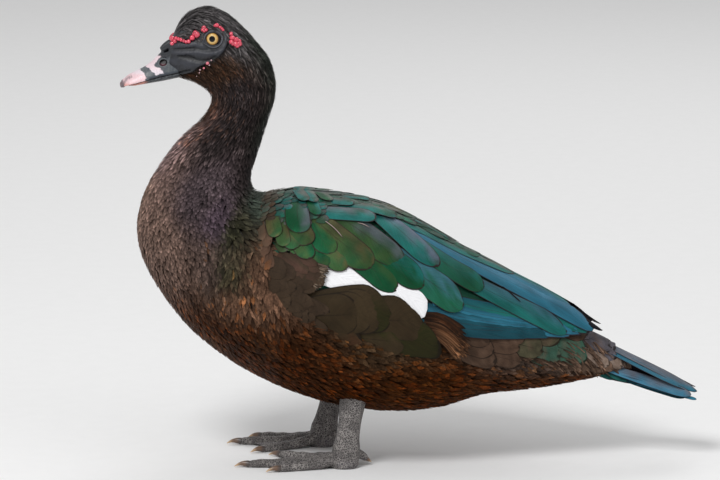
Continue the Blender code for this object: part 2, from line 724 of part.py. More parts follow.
def foot(word, paint, claw_paint):
    """A webbed foot: ankle, three front toes and their web, and the small raised hind toe."""
    side, ankle_x, _, aside, toes = LEGS[word]
    start = (ankle_x + 2, side * aside)
    rings = []
    for z, x_shift, deep, wide in ((-1.5, -2, 11, 9.5), (4, -2, 12.5, 11), (10, -1, 12.5, 10.5), (ANKLE_Z, 0, 11.5, 9)):
        rings.append([
            (ankle_x + x_shift + deep * math.cos(t), side * aside + wide * math.sin(t), z)
            for t in (2 * math.pi * k / 14 for k in range(14))
        ])
    ankle = loft(f"foot_{word}", rings)
    pieces = []
    for name, degrees, length in toes:
        heading = math.radians(degrees)
        path = toe_line(start, heading, length, side)
        radii = [TOE_ROOT + (TOE_TIP - TOE_ROOT) * (k / 5) + 0.5 * (k % 2) for k in range(6)]
        pieces.append(tube(f"toe_{name}_{word}", path, radii, 10, TOE_FLAT))
        tip = np.array(path[-1])
        beyond = tip + 2 * GAP * np.array([-math.cos(heading), side * math.sin(heading), 0])
        claw(f"claw_{name}_{word}", beyond, heading, side, claw_paint)
    pieces.append(web(f"web_out_{word}", start, side, toes[0], toes[1]))
    pieces.append(web(f"web_in_{word}", start, side, toes[1], toes[2]))
    hind = np.array([
        (ankle_x + 6, side * (aside - 5), 12.0),
        (ankle_x + 13, side * (aside - 7), 9.0),
        (ankle_x + 17, side * (aside - 8), 6.0),
    ])
    pieces.append(tube(f"toe_hind_{word}", hind, (4.4, 3.6, 2.6), 8))
    fuse(ankle, pieces)
    cut_at_floor(ankle)
    finish(ankle, paint)
    way = hind[2] - hind[1]
    way /= np.linalg.norm(way)
    path = [hind[2] + way * (GAP + 0.05 + reach) for reach in (0, 2.2, 4.2)]
    finish(fuse(tube(f"claw_hind_{word}", path, (1.9, 1.4, 0.4), 8)), claw_paint)


def main():
    clear_scene()
    parts = bpy.data.collections.new("muscovy_duck")
    bpy.context.scene.collection.children.link(parts)
    plumage = material("plumage", (0.10, 0.06, 0.045), 0.7)
    green = material("wing_plumage", (0.03, 0.14, 0.11), 0.45)
    facial = material("head_plumage", (0.05, 0.045, 0.045), 0.65)
    horn = material("bill_horn", (0.12, 0.12, 0.14), 0.4)
    iris = material("eye", (0.75, 0.55, 0.15), 0.08)
    scaled = material("leg_skin", (0.13, 0.125, 0.13), 0.6)
    nail = material("claw_horn", (0.35, 0.27, 0.2), 0.4)
    torso(plumage)
    neck(plumage)
    head(facial)
    eyes(iris)
    bill(horn, horn)
    tail(green)
    for side, word in SIDES:
        wing(side, word, green)
        shank(word, scaled)
        foot(word, scaled, nail)


main()
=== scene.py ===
import math

import bmesh
import bpy
import numpy as np
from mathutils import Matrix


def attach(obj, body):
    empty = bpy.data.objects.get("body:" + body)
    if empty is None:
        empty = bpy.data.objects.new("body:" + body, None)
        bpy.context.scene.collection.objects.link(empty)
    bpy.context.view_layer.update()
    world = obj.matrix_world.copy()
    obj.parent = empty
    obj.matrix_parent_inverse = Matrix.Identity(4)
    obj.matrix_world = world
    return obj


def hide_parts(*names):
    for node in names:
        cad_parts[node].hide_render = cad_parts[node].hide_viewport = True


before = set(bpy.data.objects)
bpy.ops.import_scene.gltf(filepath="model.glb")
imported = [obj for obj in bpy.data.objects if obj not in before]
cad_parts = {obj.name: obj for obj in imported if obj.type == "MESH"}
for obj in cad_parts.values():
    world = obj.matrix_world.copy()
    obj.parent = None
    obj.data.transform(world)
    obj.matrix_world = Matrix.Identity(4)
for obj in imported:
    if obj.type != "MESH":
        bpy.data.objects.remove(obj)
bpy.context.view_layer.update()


# The skin is one surface over trunk, neck and head, from tail root to bill base. It lies
# under the coat by the coat's depth, and on the face it is bare, dark and softly folded.
# Sizes here are in millimetres: the bird faces -X and its left side is at -Y.
MM = 0.001

# Upright slices from tail to bill: back x, back z, belly x, belly z, half width.
BODY_SLICES = (
    (191, 90, 188, 76, 12),
    (168, 101, 165, 71.5, 22),
    (140, 117, 134, 65, 33),
    (105, 138, 98, 60, 47),
    (70, 158, 62, 56, 60),
    (35, 177, 28, 46, 71),
    (0, 195, -6, 42, 79),
    (-35, 211, -41, 44, 84),
    (-70, 222, -76, 51, 86),
    (-100, 226, -112, 64, 85),
    (-121, 228, -150, 84, 80),
    (-131, 231, -187, 113, 72),
    (-134, 235, -213, 146, 62),
    (-135, 241, -228, 175, 52),
    (-134, 248, -232, 201, 43),
    (-131.5, 256, -226, 228, 35.5),
    (-128, 266, -212, 254, 30),
    (-124, 278, -195, 276, 27),
    (-120, 291, -177.5, 292, 25),
    (-116, 304, -169.5, 304, 24),
    (-114, 317, -169.5, 313, 23.5),
    (-115, 329, -176, 319.5, 23.5),
    (-119.5, 343.5, -183, 323.5, 23.5),
    (-129.5, 357, -189, 325.5, 23.5),
    (-140.5, 369.5, -194, 327, 23),
    (-155, 382, -198, 328.5, 21.5),
    (-171, 388, -201.5, 330.5, 19.5),
    (-186.5, 383, -204, 333, 16.5),
    (-196, 372, -205.5, 336, 13.5),
    (-201.5, 360.5, -206.5, 339, 12),
)
LAST_SLICE = len(BODY_SLICES) - 1
NECK_FROM = 12.5
BROAD_LOW = 0.12  # how much fuller than an ellipse the trunk is low down
PAST_TAIL = (24, 9)  # mm back and down to a slice, past the first one
FACE_FROM = (22.5, 23.5)  # the bare face begins between these slices

# How deep the coat is, by slice.
COAT_DEPTH = ((0, 3), (3, 5), (9, 5), (12, 4), (15, 3), (19, 2.2), (26, 2.0), (LAST_SLICE, 1.2))

# The bare face in side view (x, z), and its folds: a line, a half width and a height.
FACE_EDGE = (
    (-214, 362), (-203.5, 359.5), (-199.5, 359), (-193.6, 359.9), (-186.9, 359), (-180.2, 363.3),
    (-175.1, 367.5), (-169.2, 372.1), (-161.6, 371.7), (-156.6, 369.6), (-153.3, 365.4), (-152.9, 360.3),
    (-155.4, 354.4), (-160.3, 348.5), (-164.6, 345.9), (-168.9, 343), (-177.1, 339.7), (-179.8, 337.5),
    (-182.8, 334.5), (-188.7, 332.3), (-197.2, 330.2), (-214, 322),
)
FACE_FOLDS = (
    (((-200.4, 355.6), (-193.6, 356.2), (-186.9, 357.3), (-180.2, 358.1), (-174.3, 356.9)), 2.4, 1.1),
    (((-200.4, 350.8), (-193.7, 350.5), (-186.9, 351.3), (-178.5, 351.3), (-170.2, 350.7),
     (-163.4, 351.3), (-158.4, 353.5)), 2.1, 1.5),
    (((-201.2, 353.4), (-195.3, 353.7), (-188.6, 354.2), (-181.9, 354.9)), 1.3, -1.2),
    (((-193.7, 347.6), (-187, 346.6), (-180.3, 345.1), (-173.5, 344.2), (-168.5, 345.1),
     (-164.3, 347.1)), 1.7, -1.5),
    (((-202.1, 342.5), (-193.7, 341.7), (-185.3, 341.2), (-177.8, 341.7)), 3.4, 1),
    (((-188.6, 349.5), (-185.3, 347.9), (-182.8, 346.4)), 1, -0.6),
    (((-180.2, 355.6), (-175.2, 353.9), (-168.5, 353.2), (-161.7, 354.7)), 1.2, -0.5),
    (((-156.2, 367.9), (-155, 363.7), (-155.5, 358.6), (-157.5, 354.8)), 1.6, 0.6),
    (((-183.1, 364.1), (-179.3, 361.6), (-176.8, 358.9)), 1.4, -0.5),
    (((-212.3, 330.2), (-204.7, 331.5), (-197.1, 332.3), (-190.7, 334.6), (-185.8, 336.1)), 0.75, -1.4),
)
EYE_X, EYE_Z = -165.7, 362.9

# What the coat is tinted with: place along the body, degrees from the back, colour.
CROWN_BLACK = (0.052, 0.048, 0.049)
NAPE_GREEN = (0.016, 0.019, 0.015)
CHEEK_BROWN = (0.032, 0.017, 0.010)
THROAT_BROWN = (0.044, 0.019, 0.008)
NECK_DUSK = (0.024, 0.018, 0.018)
NECK_PURPLE = (0.058, 0.040, 0.052)
NECK_FRONT, NECK_GREY = (0.210, 0.140, 0.135), (0.052, 0.038, 0.042)
BREAST_GREY, NECK_PALE = (0.128, 0.082, 0.065), (0.185, 0.118, 0.092)
BREAST_BROWN = (0.076, 0.050, 0.042)
SIDE_COPPER = (0.088, 0.046, 0.028)
SIDE_RUST, SIDE_MIX = (0.030, 0.010, 0.003), (0.027, 0.010, 0.003)
SHOULDER_DARK = (0.022, 0.022, 0.011)
BELLY_RUST = (0.050, 0.016, 0.004)
# The belly's own dark rust, made darker still as painted shade under the body.
BELLY_DARK_AND_SHADE = (0.040, 0.012, 0.002)
FLANK_OLIVE = (0.036, 0.021, 0.011)
MANTLE_GREEN = (0.030, 0.040, 0.030)
RUMP_GREY = (0.060, 0.041, 0.032)
COAT_TINTS = (
    (26, 0, CROWN_BLACK), (28, 30, CROWN_BLACK), (23, 0, NAPE_GREEN), (25, 60, CROWN_BLACK),
    (23, 100, CHEEK_BROWN), (24, 170, THROAT_BROWN), (20.5, 90, NECK_DUSK), (18, 0, NAPE_GREEN),
    (18, 90, NECK_DUSK), (18.5, 180, THROAT_BROWN), (14.5, 10, NECK_DUSK), (14.5, 80, NECK_GREY),
    (12.7, 66, NECK_PURPLE), (16.8, 172, NECK_FRONT), (15, 175, NECK_PALE), (13, 130, BREAST_GREY),
    (11.5, 90, BREAST_BROWN), (11.5, 175, BREAST_GREY), (11, 20, MANTLE_GREEN), (9.5, 75, SIDE_COPPER),
    (9.8, 112, SIDE_MIX), (10.8, 168, BELLY_RUST), (10.5, 150, BELLY_RUST), (9, 145, BELLY_RUST),
    (10.2, 132, SIDE_RUST), (9, 115, SIDE_RUST), (8.2, 128, SIDE_RUST), (8.2, 160, BELLY_DARK_AND_SHADE),
    (11.8, 58, SHOULDER_DARK), (11, 84, SHOULDER_DARK), (10.4, 96, SIDE_COPPER), (7.6, 145, BELLY_DARK_AND_SHADE),
    (7, 95, FLANK_OLIVE), (7, 160, BELLY_RUST), (6, 130, BELLY_DARK_AND_SHADE), (4.5, 165, BELLY_DARK_AND_SHADE),
    (7, 0, MANTLE_GREEN), (3, 20, MANTLE_GREEN), (3, 85, RUMP_GREY), (2.5, 165, BELLY_DARK_AND_SHADE),
    (0.5, 80, RUMP_GREY), (0.5, 170, FLANK_OLIVE),
)
FACE_SLATE, FACE_BLUE = (0.008, 0.009, 0.011), (0.026, 0.028, 0.037)


def smooth(table, at):
    """Values of a table's columns between its rows, by a Catmull-Rom curve."""
    rows = np.array(table, float)
    at = np.clip(np.asarray(at, float), 0, len(rows) - 1)
    low = np.minimum(at.astype(int), len(rows) - 2)
    t = (at - low)[..., None]
    a, b, c = rows[np.maximum(low - 1, 0)], rows[low], rows[low + 1]
    d = rows[np.minimum(low + 2, len(rows) - 1)]
    return b + 0.5 * t * (c - a + t * (2 * a - 5 * b + 4 * c - d + t * (3 * (b - c) + d - a)))


def join(x, y, z):
    """Points from arrays of x, y and z that are broadcast together."""
    return np.stack(np.broadcast_arrays(x, y, z), axis=-1)


def circle(count, start=0.0):
    """Angles spread evenly over a full turn."""
    return np.linspace(start, start + 2 * math.pi, count + 1)[:-1]


def body_point(at, angle, swell=0.0):
    """A point of the body's outline: slice, angle from the back (left is positive), mm outwards."""
    at, angle = np.broadcast_arrays(np.asarray(at, float), np.asarray(angle, float))
    back_x, back_z, belly_x, belly_z, half = np.moveaxis(smooth(BODY_SLICES, at), -1, 0)
    deep_x, deep_z = (back_x - belly_x) / 2, (back_z - belly_z) / 2
    deep = np.hypot(deep_x, deep_z)
    grown = (deep + swell) / deep
    egg = BROAD_LOW * np.clip((NECK_FROM - at) / 3, 0, 1)
    x = (back_x + belly_x) / 2 + deep_x * grown * np.cos(angle) - PAST_TAIL[0] * np.minimum(at, 0)
    y = -(half + swell) * np.sin(angle) * (1 - egg * np.cos(angle))
    z = (back_z + belly_z) / 2 + deep_z * grown * np.cos(angle) + PAST_TAIL[1] * np.minimum(at, 0)
    return join(x, y, z)


def ramp(low, high, value):
    """Rises smoothly from 0 at low to 1 at high."""
    t = np.clip((np.asarray(value, float) - low) / (high - low), 0, 1)
    return t * t * (3 - 2 * t)


def blend(a, b, share):
    """Mixes two colours or places by a share of the second."""
    share = np.asarray(share, float)[..., None]
    return np.asarray(a, float) * (1 - share) + np.asarray(b, float) * share


def ripple(points, size, seed):
    """Soft noise between about -1 and 1 over points, with features of a size in mm."""
    draw = np.random.default_rng(seed)
    total = np.zeros(np.shape(points)[:-1])
    for k in range(7):
        way = draw.normal(size=3)
        way *= (1 + 0.35 * k) / np.linalg.norm(way)
        total += np.sin(points @ way * (2 * math.pi / size / 1.6) + draw.uniform(0, 6.3))
    return total / 2.6


def near_line(x, z, line):
    """Distance in side view from points to a line of corners."""
    least = np.full(np.shape(x), 1e9)
    for (ax, az), (bx, bz) in zip(line[:-1], line[1:]):
        run = (bx - ax) ** 2 + (bz - az) ** 2
        t = np.clip(((x - ax) * (bx - ax) + (z - az) * (bz - az)) / run, 0, 1)
        least = np.minimum(least, np.hypot(x - ax - t * (bx - ax), z - az - t * (bz - az)))
    return least


def bare_share(points):
    """1 on the bare face, 0 under the coat."""
    x, z = points[..., 0], points[..., 2]
    inside = np.zeros(np.shape(x), bool)
    for (ax, az), (bx, bz) in zip(FACE_EDGE, FACE_EDGE[1:] + FACE_EDGE[:1]):
        crosses = (az > z) != (bz > z)
        inside ^= crosses & (x < ax + (z - az) * (bx - ax) / (bz - az if bz != az else 1e-9))
    off = near_line(x, z, FACE_EDGE + FACE_EDGE[:1])
    return ramp(-0.9, 0.9, np.where(inside, off, -off))


def coat_depth(at):
    """How far under the bird's outline the skin lies, in mm."""
    return np.interp(at, *np.array(COAT_DEPTH, float).T)


def coat_tint(at, angle):
    """The coat's own colour at places on the body."""
    degrees = np.abs(np.degrees(angle))
    total, weight = 0.0, 0.0
    for place, turn, colour in COAT_TINTS:
        away = ((at - place) / 2.0) ** 2 + ((degrees - turn) / 38) ** 2
        share = 1 / (away + 0.05) ** 2.2
        total = total + share[..., None] * np.array(colour)
        weight = weight + share
    return total / weight[..., None]


class Port:
    """A socket in a material's node tree that can stand in a Python expression."""

    def __init__(self, tree, socket=None):
        self.tree, self.socket = tree, socket

    def node(self, kind, settings=None, inputs=None, output=0):
        """Adds a shader node with its settings and input values, and gives one of its outputs."""
        made = self.tree.nodes.new("ShaderNode" + kind)
        for name, value in (settings or {}).items():
            setattr(made, name, value)
        for name, value in (inputs or {}).items():
            if isinstance(value, Port):
                self.tree.links.new(value.socket, made.inputs[name])
            else:
                made.inputs[name].default_value = value
        return Port(self.tree, made.outputs[output])

    def sum(self, operation, *values):
        return self.node("Math", {"operation": operation}, dict(enumerate(values)))

    def __add__(self, other):
        return self.sum("ADD", self, other)

    __radd__ = __add__

    def __sub__(self, other):
        return self.sum("SUBTRACT", self, other)

    def __rsub__(self, other):
        return self.sum("SUBTRACT", other, self)

    def __mul__(self, other):
        return self.sum("MULTIPLY", self, other)

    __rmul__ = __mul__

    def apart(self):
        return self.sum("ABSOLUTE", self)

    def rise(self, low, high, start=0.0, end=1.0):
        """Goes smoothly from start to end as this value goes from low to high."""
        return self.node("MapRange", {"interpolation_type": "SMOOTHSTEP"},
                         {0: self, 1: low, 2: high, 3: start, 4: end})

    def tint(self, a, b):
        """Mixes two colours by this value."""
        return self.node("Mix", {"data_type": "RGBA"}, {0: self, 6: a, 7: b}, 2)

    def times(self, level):
        """This colour, lighter or darker by a value."""
        return self.node("VectorMath", {"operation": "SCALE"}, {0: self, "Scale": level})

    def place(self):
        """Where a point is, in metres, in its piece's own coordinates."""
        return self.node("TexCoord", output=3)

    def stored(self, name, output=0):
        """What a mesh stores at its points: a colour, or a number from output 2."""
        return self.node("Attribute", {"attribute_name": name}, output=output)

    def noise(self, place, scale, detail, rough, kind="3D"):
        inputs = {"Scale": scale, "Detail": detail, "Roughness": rough}
        inputs["W" if kind == "1D" else "Vector"] = place
        return self.node("TexNoise", {"noise_dimensions": kind}, inputs)

    def cells(self, place, scale, feature="F1", output=0):
        return self.node("TexVoronoi", {"feature": feature}, {"Vector": place, "Scale": scale}, output)

    def bump(self, height, strength, distance):
        return self.node("Bump", {}, {"Height": height, "Strength": strength, "Distance": distance})


def start_finish(name):
    """A port to build a new material's nodes from, and a call that sets its shader."""
    made = bpy.data.materials.new(name)
    made.use_nodes = True
    tree = made.node_tree
    shader = tree.nodes["Principled BSDF"]

    def finish(**sockets):
        for key, value in sockets.items():
            socket = shader.inputs[key.replace("_", " ")]
            if isinstance(value, Port):
                tree.links.new(value.socket, socket)
            else:
                socket.default_value = value
        return made

    return Port(tree), finish


def add_object(name, data):
    """A new object in the scene."""
    thing = bpy.data.objects.new(name, data)
    bpy.context.scene.collection.objects.link(thing)
    return thing


def dress(name, mesh, finish, slot):
    """A piece of the bird from a mesh, with its finish and its body. Its slot is not used."""
    piece = add_object(name, mesh)
    mesh.materials.append(finish)
    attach(piece, "root")
    return piece


def mesh_piece(name, points, faces, finish, slot, smooth_under):
    """A piece from points in mm and faces, shaded smooth where they meet under an angle."""
    mesh = bpy.data.meshes.new(name)
    mesh.from_pydata((np.asarray(points) * MM).tolist(), [], faces)
    mesh.validate()
    mesh.shade_smooth()
    mesh.set_sharp_from_angle(angle=math.radians(smooth_under))
    return dress(name, mesh, finish, slot)


def ring_faces(rings, around, closed=True):
    """Quads between rings of points, round each ring or along an open strip."""
    index = np.arange(rings * around).reshape(rings, around)
    after = np.roll(index, -1, axis=1) if closed else index[:, 1:]
    here = index if closed else index[:, :-1]
    return np.stack([here[:-1], after[:-1], after[1:], here[1:]], axis=-1).reshape(-1, 4).tolist()


def closed_rings(rings, flip=False):
    """Points and faces of a solid from rings of points, with a cap on the first and the last."""
    rings = np.asarray(rings, float)
    count, around = rings.shape[:2]
    faces = ring_faces(count, around)
    faces += [tuple(range(around))[::-1], tuple(range((count - 1) * around, count * around))]
    return rings.reshape(-1, 3), [f[::-1] for f in faces] if flip else faces


def set_tint(mesh, colours):
    """Stores a colour at each point of a mesh."""
    layer = mesh.color_attributes.new("tint", "FLOAT_COLOR", "POINT")
    colours = np.asarray(colours, np.float32).reshape(-1, 3)
    layer.data.foreach_set("color", np.hstack([colours, np.ones((len(colours), 1), np.float32)]).ravel())


def set_share(mesh, name, values):
    """Stores a number at each point of a mesh."""
    layer = mesh.attributes.new(name, "FLOAT", "POINT")
    layer.data.foreach_set("value", np.asarray(values, np.float32).ravel())


def set_uv(mesh, name, places):
    """Stores a place on a flat square at each corner of a mesh's faces."""
    mesh.uv_layers.new(name=name).uv.foreach_set("vector", places.astype(np.float32).ravel())


def corners_of(mesh):
    """Which point is at each corner of a mesh's faces."""
    corner = np.zeros(len(mesh.loops), np.int32)
    mesh.loops.foreach_get("vertex_index", corner)
    return corner


def skin_unwrap(at, angle):
    """Where a place on the body lies on the flat unwrap of the skin."""
    across = 0.5 + np.asarray(angle) / (2 * math.pi) * 0.98
    return np.stack([across, 0.01 + 0.98 * np.asarray(at) / LAST_SLICE], axis=-1)


def skin_finish():
    """Dark wrinkled skin, finely pored, bluer where it is worn."""
    p, finish = start_finish("skin")
    place = p.place()
    tint = p.stored("tint")
    bare = p.stored("bare", 2)
    wrinkle = p.noise(place, 900, 4, 0.6)
    pores = p.cells(place, 1500)
    worn = wrinkle.rise(0.35, 0.7)
    colour = (worn * 0.45).tint(tint, (*FACE_BLUE, 1))
    colour = (1 - bare).tint(colour, tint)
    relief = wrinkle * 0.7 + pores * 0.3
    return finish(Base_Color=colour, Roughness=wrinkle.rise(0.3, 0.7, 0.42, 0.6), Specular_IOR_Level=0.45,
                  Normal=p.bump(relief, 0.45, 0.0004))


def face_relief(points):
    """How far the folds of the bare face stand out, in mm."""
    x, z = points[..., 0], points[..., 2]
    height = np.zeros(np.shape(x))
    for line, wide, high in FACE_FOLDS:
        height += high * np.exp(-(near_line(x, z, line) / wide) ** 2)
    ring = np.hypot(x - EYE_X, (z - EYE_Z) / 0.92)
    height -= 0.55 * np.exp(-((ring - 8.9) / 0.8) ** 2)
    return height + 0.10 * ripple(points, 2.4, 5)


def make_skin():
    """The skin in rings, closer together on the head. Under the coat it is coat colour darkened as
    painted shade.
    """
    slices = np.concatenate([np.linspace(0, 18, 100)[:-1], np.linspace(18, 23.5, 60)[:-1],
                             np.linspace(23.5, LAST_SLICE, 176)])
    at, angle = np.meshgrid(slices, circle(256, -math.pi), indexing="ij")
    rim = body_point(at, angle)
    bare = bare_share(rim) * ramp(*FACE_FROM, at)
    relief = face_relief(rim)
    rise = bare * relief * ramp(2, 8, np.abs(rim[..., 1])) - coat_depth(at) * (1 - bare)
    points, faces = closed_rings(body_point(at, angle, rise), flip=True)
    piece = mesh_piece("skin", points, faces, skin_finish(), "body_plumage", 80)
    mesh = piece.data
    # The face is slate, lighter and bluer on the raised folds as a painted highlight, and darker in the
    # sunken creases as painted shade.
    face = blend(FACE_SLATE, FACE_BLUE, ramp(-0.5, 1.3, relief + 0.35 * ripple(rim, 7, 3)))
    face = face * (1 - 0.8 * ramp(-0.1, -1.2, relief))[..., None]
    # Under the coat, the coat's colour at under half its brightness is painted shade between the
    # feathers.
    set_tint(mesh, blend(coat_tint(at, angle) * 0.45, face, bare))
    set_share(mesh, "bare", bare)

    # The unwrap is cut along the belly: faces that pass the cut end at its far side.
    around = at.shape[1]
    corner = corners_of(mesh)
    spread = skin_unwrap(at, angle).reshape(-1, 2)[corner]
    polygon = np.repeat(np.arange(len(mesh.polygons)), [f.loop_total for f in mesh.polygons])
    wraps = np.zeros(len(mesh.polygons), bool)
    np.logical_or.at(wraps, polygon, corner % around == around - 1)
    spread[wraps[polygon] & (corner % around == 0), 0] = 0.99
    set_uv(mesh, "OFBake", spread)
    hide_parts("torso", "neck", "head")


make_skin()


# Each eye is a ball with an amber iris round a black pupil, glossy under its clear front,
# and set between two slate-grey lids that end in a small point towards the bill.
LEFT, RIGHT = -1, 1
SIDES = ((LEFT, "left"), (RIGHT, "right"))
EYE_RADIUS, EYE_SUNK = 7.6, 4.5
IRIS_RADIUS, PUPIL_RADIUS = 5.0, 2.55
GAZE = (-0.12, 1.0, 0.05)
PUPIL_BLACK, IRIS_INNER, IRIS_AMBER = (0.003, 0.003, 0.004), (0.66, 0.46, 0.19), (0.50, 0.27, 0.06)
IRIS_RIM, EYE_DARK_AND_LID_SHADE = (0.13, 0.06, 0.015), (0.006, 0.005, 0.005)
LID_GREY, LID_RIM = (0.085, 0.088, 0.105), (0.004, 0.004, 0.005)
LID_OPEN_WIDE, LID_OPEN_HIGH, LID_BROAD = 5.95, 5.3, 2.3
LID_PROFILE = ((0, 0.1), (0.06, 0.45), (0.16, 0.6), (0.30, 0.55), (0.42, 0.75), (0.58, 0.95), (0.76, 0.7),
               (0.90, 0.1), (1, -0.8))


def on_side(x, z, side):
    """The slice and angle at which the surface lies at an x and z, seen from one side."""
    at = np.linspace(0, LAST_SLICE, 2321)
    back_x, back_z, belly_x, belly_z, _ = np.moveaxis(smooth(BODY_SLICES, at), -1, 0)
    run_x, run_z = back_x - belly_x, back_z - belly_z
    x, z = np.asarray(x, float), np.asarray(z, float)
    off = run_x * (z[..., None] - belly_z) - run_z * (x[..., None] - belly_x)
    best = np.argmin(np.abs(off) / np.hypot(run_x, run_z), axis=-1)
    share = (x - belly_x[best]) * run_x[best] + (z - belly_z[best]) * run_z[best]
    share = share / (run_x[best] ** 2 + run_z[best] ** 2)
    return at[best], -side * np.arccos(np.clip(2 * share - 1, -1, 1))


def eye_finish():
    """Painted by its own tint, under a thin clear coat."""
    p, finish = start_finish("eye")
    return finish(Base_Color=p.stored("tint"), Roughness=0.25, Specular_IOR_Level=0.1, Coat_Weight=0.3,
                  Coat_Roughness=0.03)


def make_eyeball(side, word, finish):
    """The ball and its iris, turned to look outwards. Gives its middle."""
    middle = body_point(*on_side(EYE_X, EYE_Z, side)) - np.array([0, side * EYE_SUNK, 0])
    gaze = np.array(GAZE) * (1, side, 1)
    gaze /= np.linalg.norm(gaze)
    right = np.cross(gaze, (0, 0, 1))
    right /= np.linalg.norm(right)
    up = np.cross(right, gaze)
    tilt = np.radians(np.concatenate([np.linspace(0.5, 55, 64), np.linspace(60, 179.5, 18)]))
    tilt, turn = np.meshgrid(tilt, circle(96), indexing="ij")
    way = (gaze * np.cos(tilt)[..., None] + right * (np.sin(tilt) * np.cos(turn))[..., None]
           + up * (np.sin(tilt) * np.sin(turn))[..., None])
    off = EYE_RADIUS * np.sin(tilt) + 20 * (tilt > math.pi / 2)
    fibre = 0.14 * np.sin(turn * 23 + 2 * np.sin(turn * 7)) + 0.10 * np.sin(turn * 41 + 1.3)
    iris = blend(IRIS_INNER, IRIS_AMBER, ramp(PUPIL_RADIUS, IRIS_RADIUS, off + 0.3 * fibre))
    iris = iris * (1 + fibre)[..., None]
    iris = blend(iris, IRIS_RIM, ramp(IRIS_RADIUS - 0.7, IRIS_RADIUS, off))
    iris = blend(iris, IRIS_RIM, ramp(PUPIL_RADIUS + 0.3, PUPIL_RADIUS, off) * 0.35)
    tint = blend(PUPIL_BLACK, iris, ramp(PUPIL_RADIUS - 0.12, PUPIL_RADIUS + 0.12, off))
    # Beyond the iris the ball is near black: the eye's own dark colour and painted shade from the lids.
    tint = blend(tint, EYE_DARK_AND_LID_SHADE, ramp(IRIS_RADIUS, IRIS_RADIUS + 0.25, off))
    ball = mesh_piece(f"eyeball_{word}", *closed_rings(middle + way * EYE_RADIUS), finish, "eye", 80)
    set_tint(ball.data, tint)
    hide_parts(f"eye_{word}")
    return middle


def make_lids(side, word, middle, finish):
    """A raised ring of skin round the eye, with a point before it and a droop over its top."""
    turn = circle(96)
    away = np.angle(np.exp(1j * (turn - math.pi - 0.38)))
    point = np.exp(-(away / 0.24) ** 2)
    rear = np.exp(-(np.angle(np.exp(1j * (turn - 0.15))) / 0.3) ** 2)
    share, height = np.array(LID_PROFILE).T
    turn, share = turn[None, :], share[:, None]
    wide = LID_OPEN_WIDE + 0.9 * point + 0.3 * rear + (LID_BROAD + 0.9 * point) * share
    tall = LID_OPEN_HIGH + 0.6 * point + (LID_BROAD + 0.5 * point) * share
    x = EYE_X + wide * np.cos(turn) + 0.05 * share
    z = EYE_Z + tall * np.sin(turn)
    skin = np.abs(body_point(*on_side(x, z, side))[..., 1])
    ball = EYE_RADIUS ** 2 - (x - EYE_X) ** 2 - (z - EYE_Z) ** 2
    ball_high = abs(middle[1]) + np.sqrt(np.maximum(ball, 0))
    base = ball_high * (1 - ramp(0.1, 0.75, share)) + skin * ramp(0.1, 0.75, share)
    droop = 0.35 * ramp(0.2, 0.9, np.sin(turn)) * np.exp(-((share - 0.35) / 0.3) ** 2)
    points = np.stack([x, side * (base + height[:, None] + droop), z], axis=-1)
    faces = ring_faces(len(height), len(turn[0]))
    faces = [f[::-1] for f in faces] if side == LEFT else faces
    lids = mesh_piece(f"lids_{word}", points.reshape(-1, 3), faces, finish, "head_plumage", 80)
    tint = blend(LID_RIM, LID_GREY, ramp(0.36, 0.5, share) * np.ones_like(x))
    # The lids darken towards their outer edge as painted shade in the fold where they meet the face.
    set_tint(lids.data, tint * (1 - 0.6 * ramp(0.85, 1.0, share) * np.ones_like(x))[..., None])
    set_share(lids.data, "bare", np.ones(x.size))


eye_shine = eye_finish()
for side, word in SIDES:
    eye_middle = make_eyeball(side, word, eye_shine)
    make_lids(side, word, eye_middle, bpy.data.materials["skin"])


# Coral-red beads of flesh run in a row from the bill over the brow, and in a cluster behind
# the eye. Smaller, paler ones follow the edge of the bare skin down to the corner of the mouth.
CORAL, CORAL_PALE, BEAD_WHITE = (0.66, 0.040, 0.085), (0.66, 0.16, 0.21), (0.42, 0.30, 0.31)
BEADS = (  # x, z and radius
    (-202.6, 360.4, 2.3), (-200.6, 363.6, 2.0), (-200.4, 357.8, 2.0), (-200.2, 361, 2.4),
    (-198.2, 359.9, 1.7), (-197.1, 362.4, 1.6), (-194.8, 362.1, 1.8), (-192.9, 361.7, 1.5),
    (-190.5, 360.9, 1.6), (-188.4, 360.3, 1.4), (-186.3, 360.7, 1.9), (-183.3, 363.8, 2.4),
    (-180.8, 367.9, 2.1), (-179.5, 366.3, 2.5), (-181.3, 366.8, 2.0), (-173.7, 371.7, 2.0),
    (-174.5, 370.3, 1.8), (-172.1, 370.1, 1.8), (-173.4, 369.3, 1.5), (-163.1, 373.5, 1.9),
    (-164.6, 373.4, 1.2), (-160.2, 371.9, 1.5), (-158.8, 370.9, 1.3), (-157.7, 369.7, 1.2),
    (-151.3, 366.3, 1.8), (-150.8, 364.9, 1.2), (-150.2, 363, 2.2), (-151, 360, 2.2),
    (-149.4, 358.7, 2.0), (-147.2, 361.4, 2.4), (-147.5, 358.1, 2.4), (-144.8, 360.3, 1.9),
    (-144.5, 358.1, 2.2), (-146.1, 356.5, 2.0),
)
PALE_BEADS = (
    (-170.3, 342.8, 1.5), (-169, 341.2, 0.8), (-167.3, 345.3, 0.7), (-173.5, 338.5, 1.0),
    (-176.8, 336.9, 0.8), (-177.4, 334.2, 0.6), (-179.8, 330.8, 0.4),
)


def bead_finish():
    """Wet red flesh, faintly pebbled and very glossy."""
    p, finish = start_finish("caruncles")
    tint = p.stored("tint")
    grain = p.noise(p.place(), 1400, 2, 0.5)
    colour = grain.rise(0.3, 0.7, 0.0, 0.18).tint(tint, (*CORAL_PALE, 1))
    return finish(Base_Color=colour, Roughness=0.22, Coat_Weight=0.8, Coat_Roughness=0.08,
                  Normal=p.bump(grain, 0.25, 0.0002))


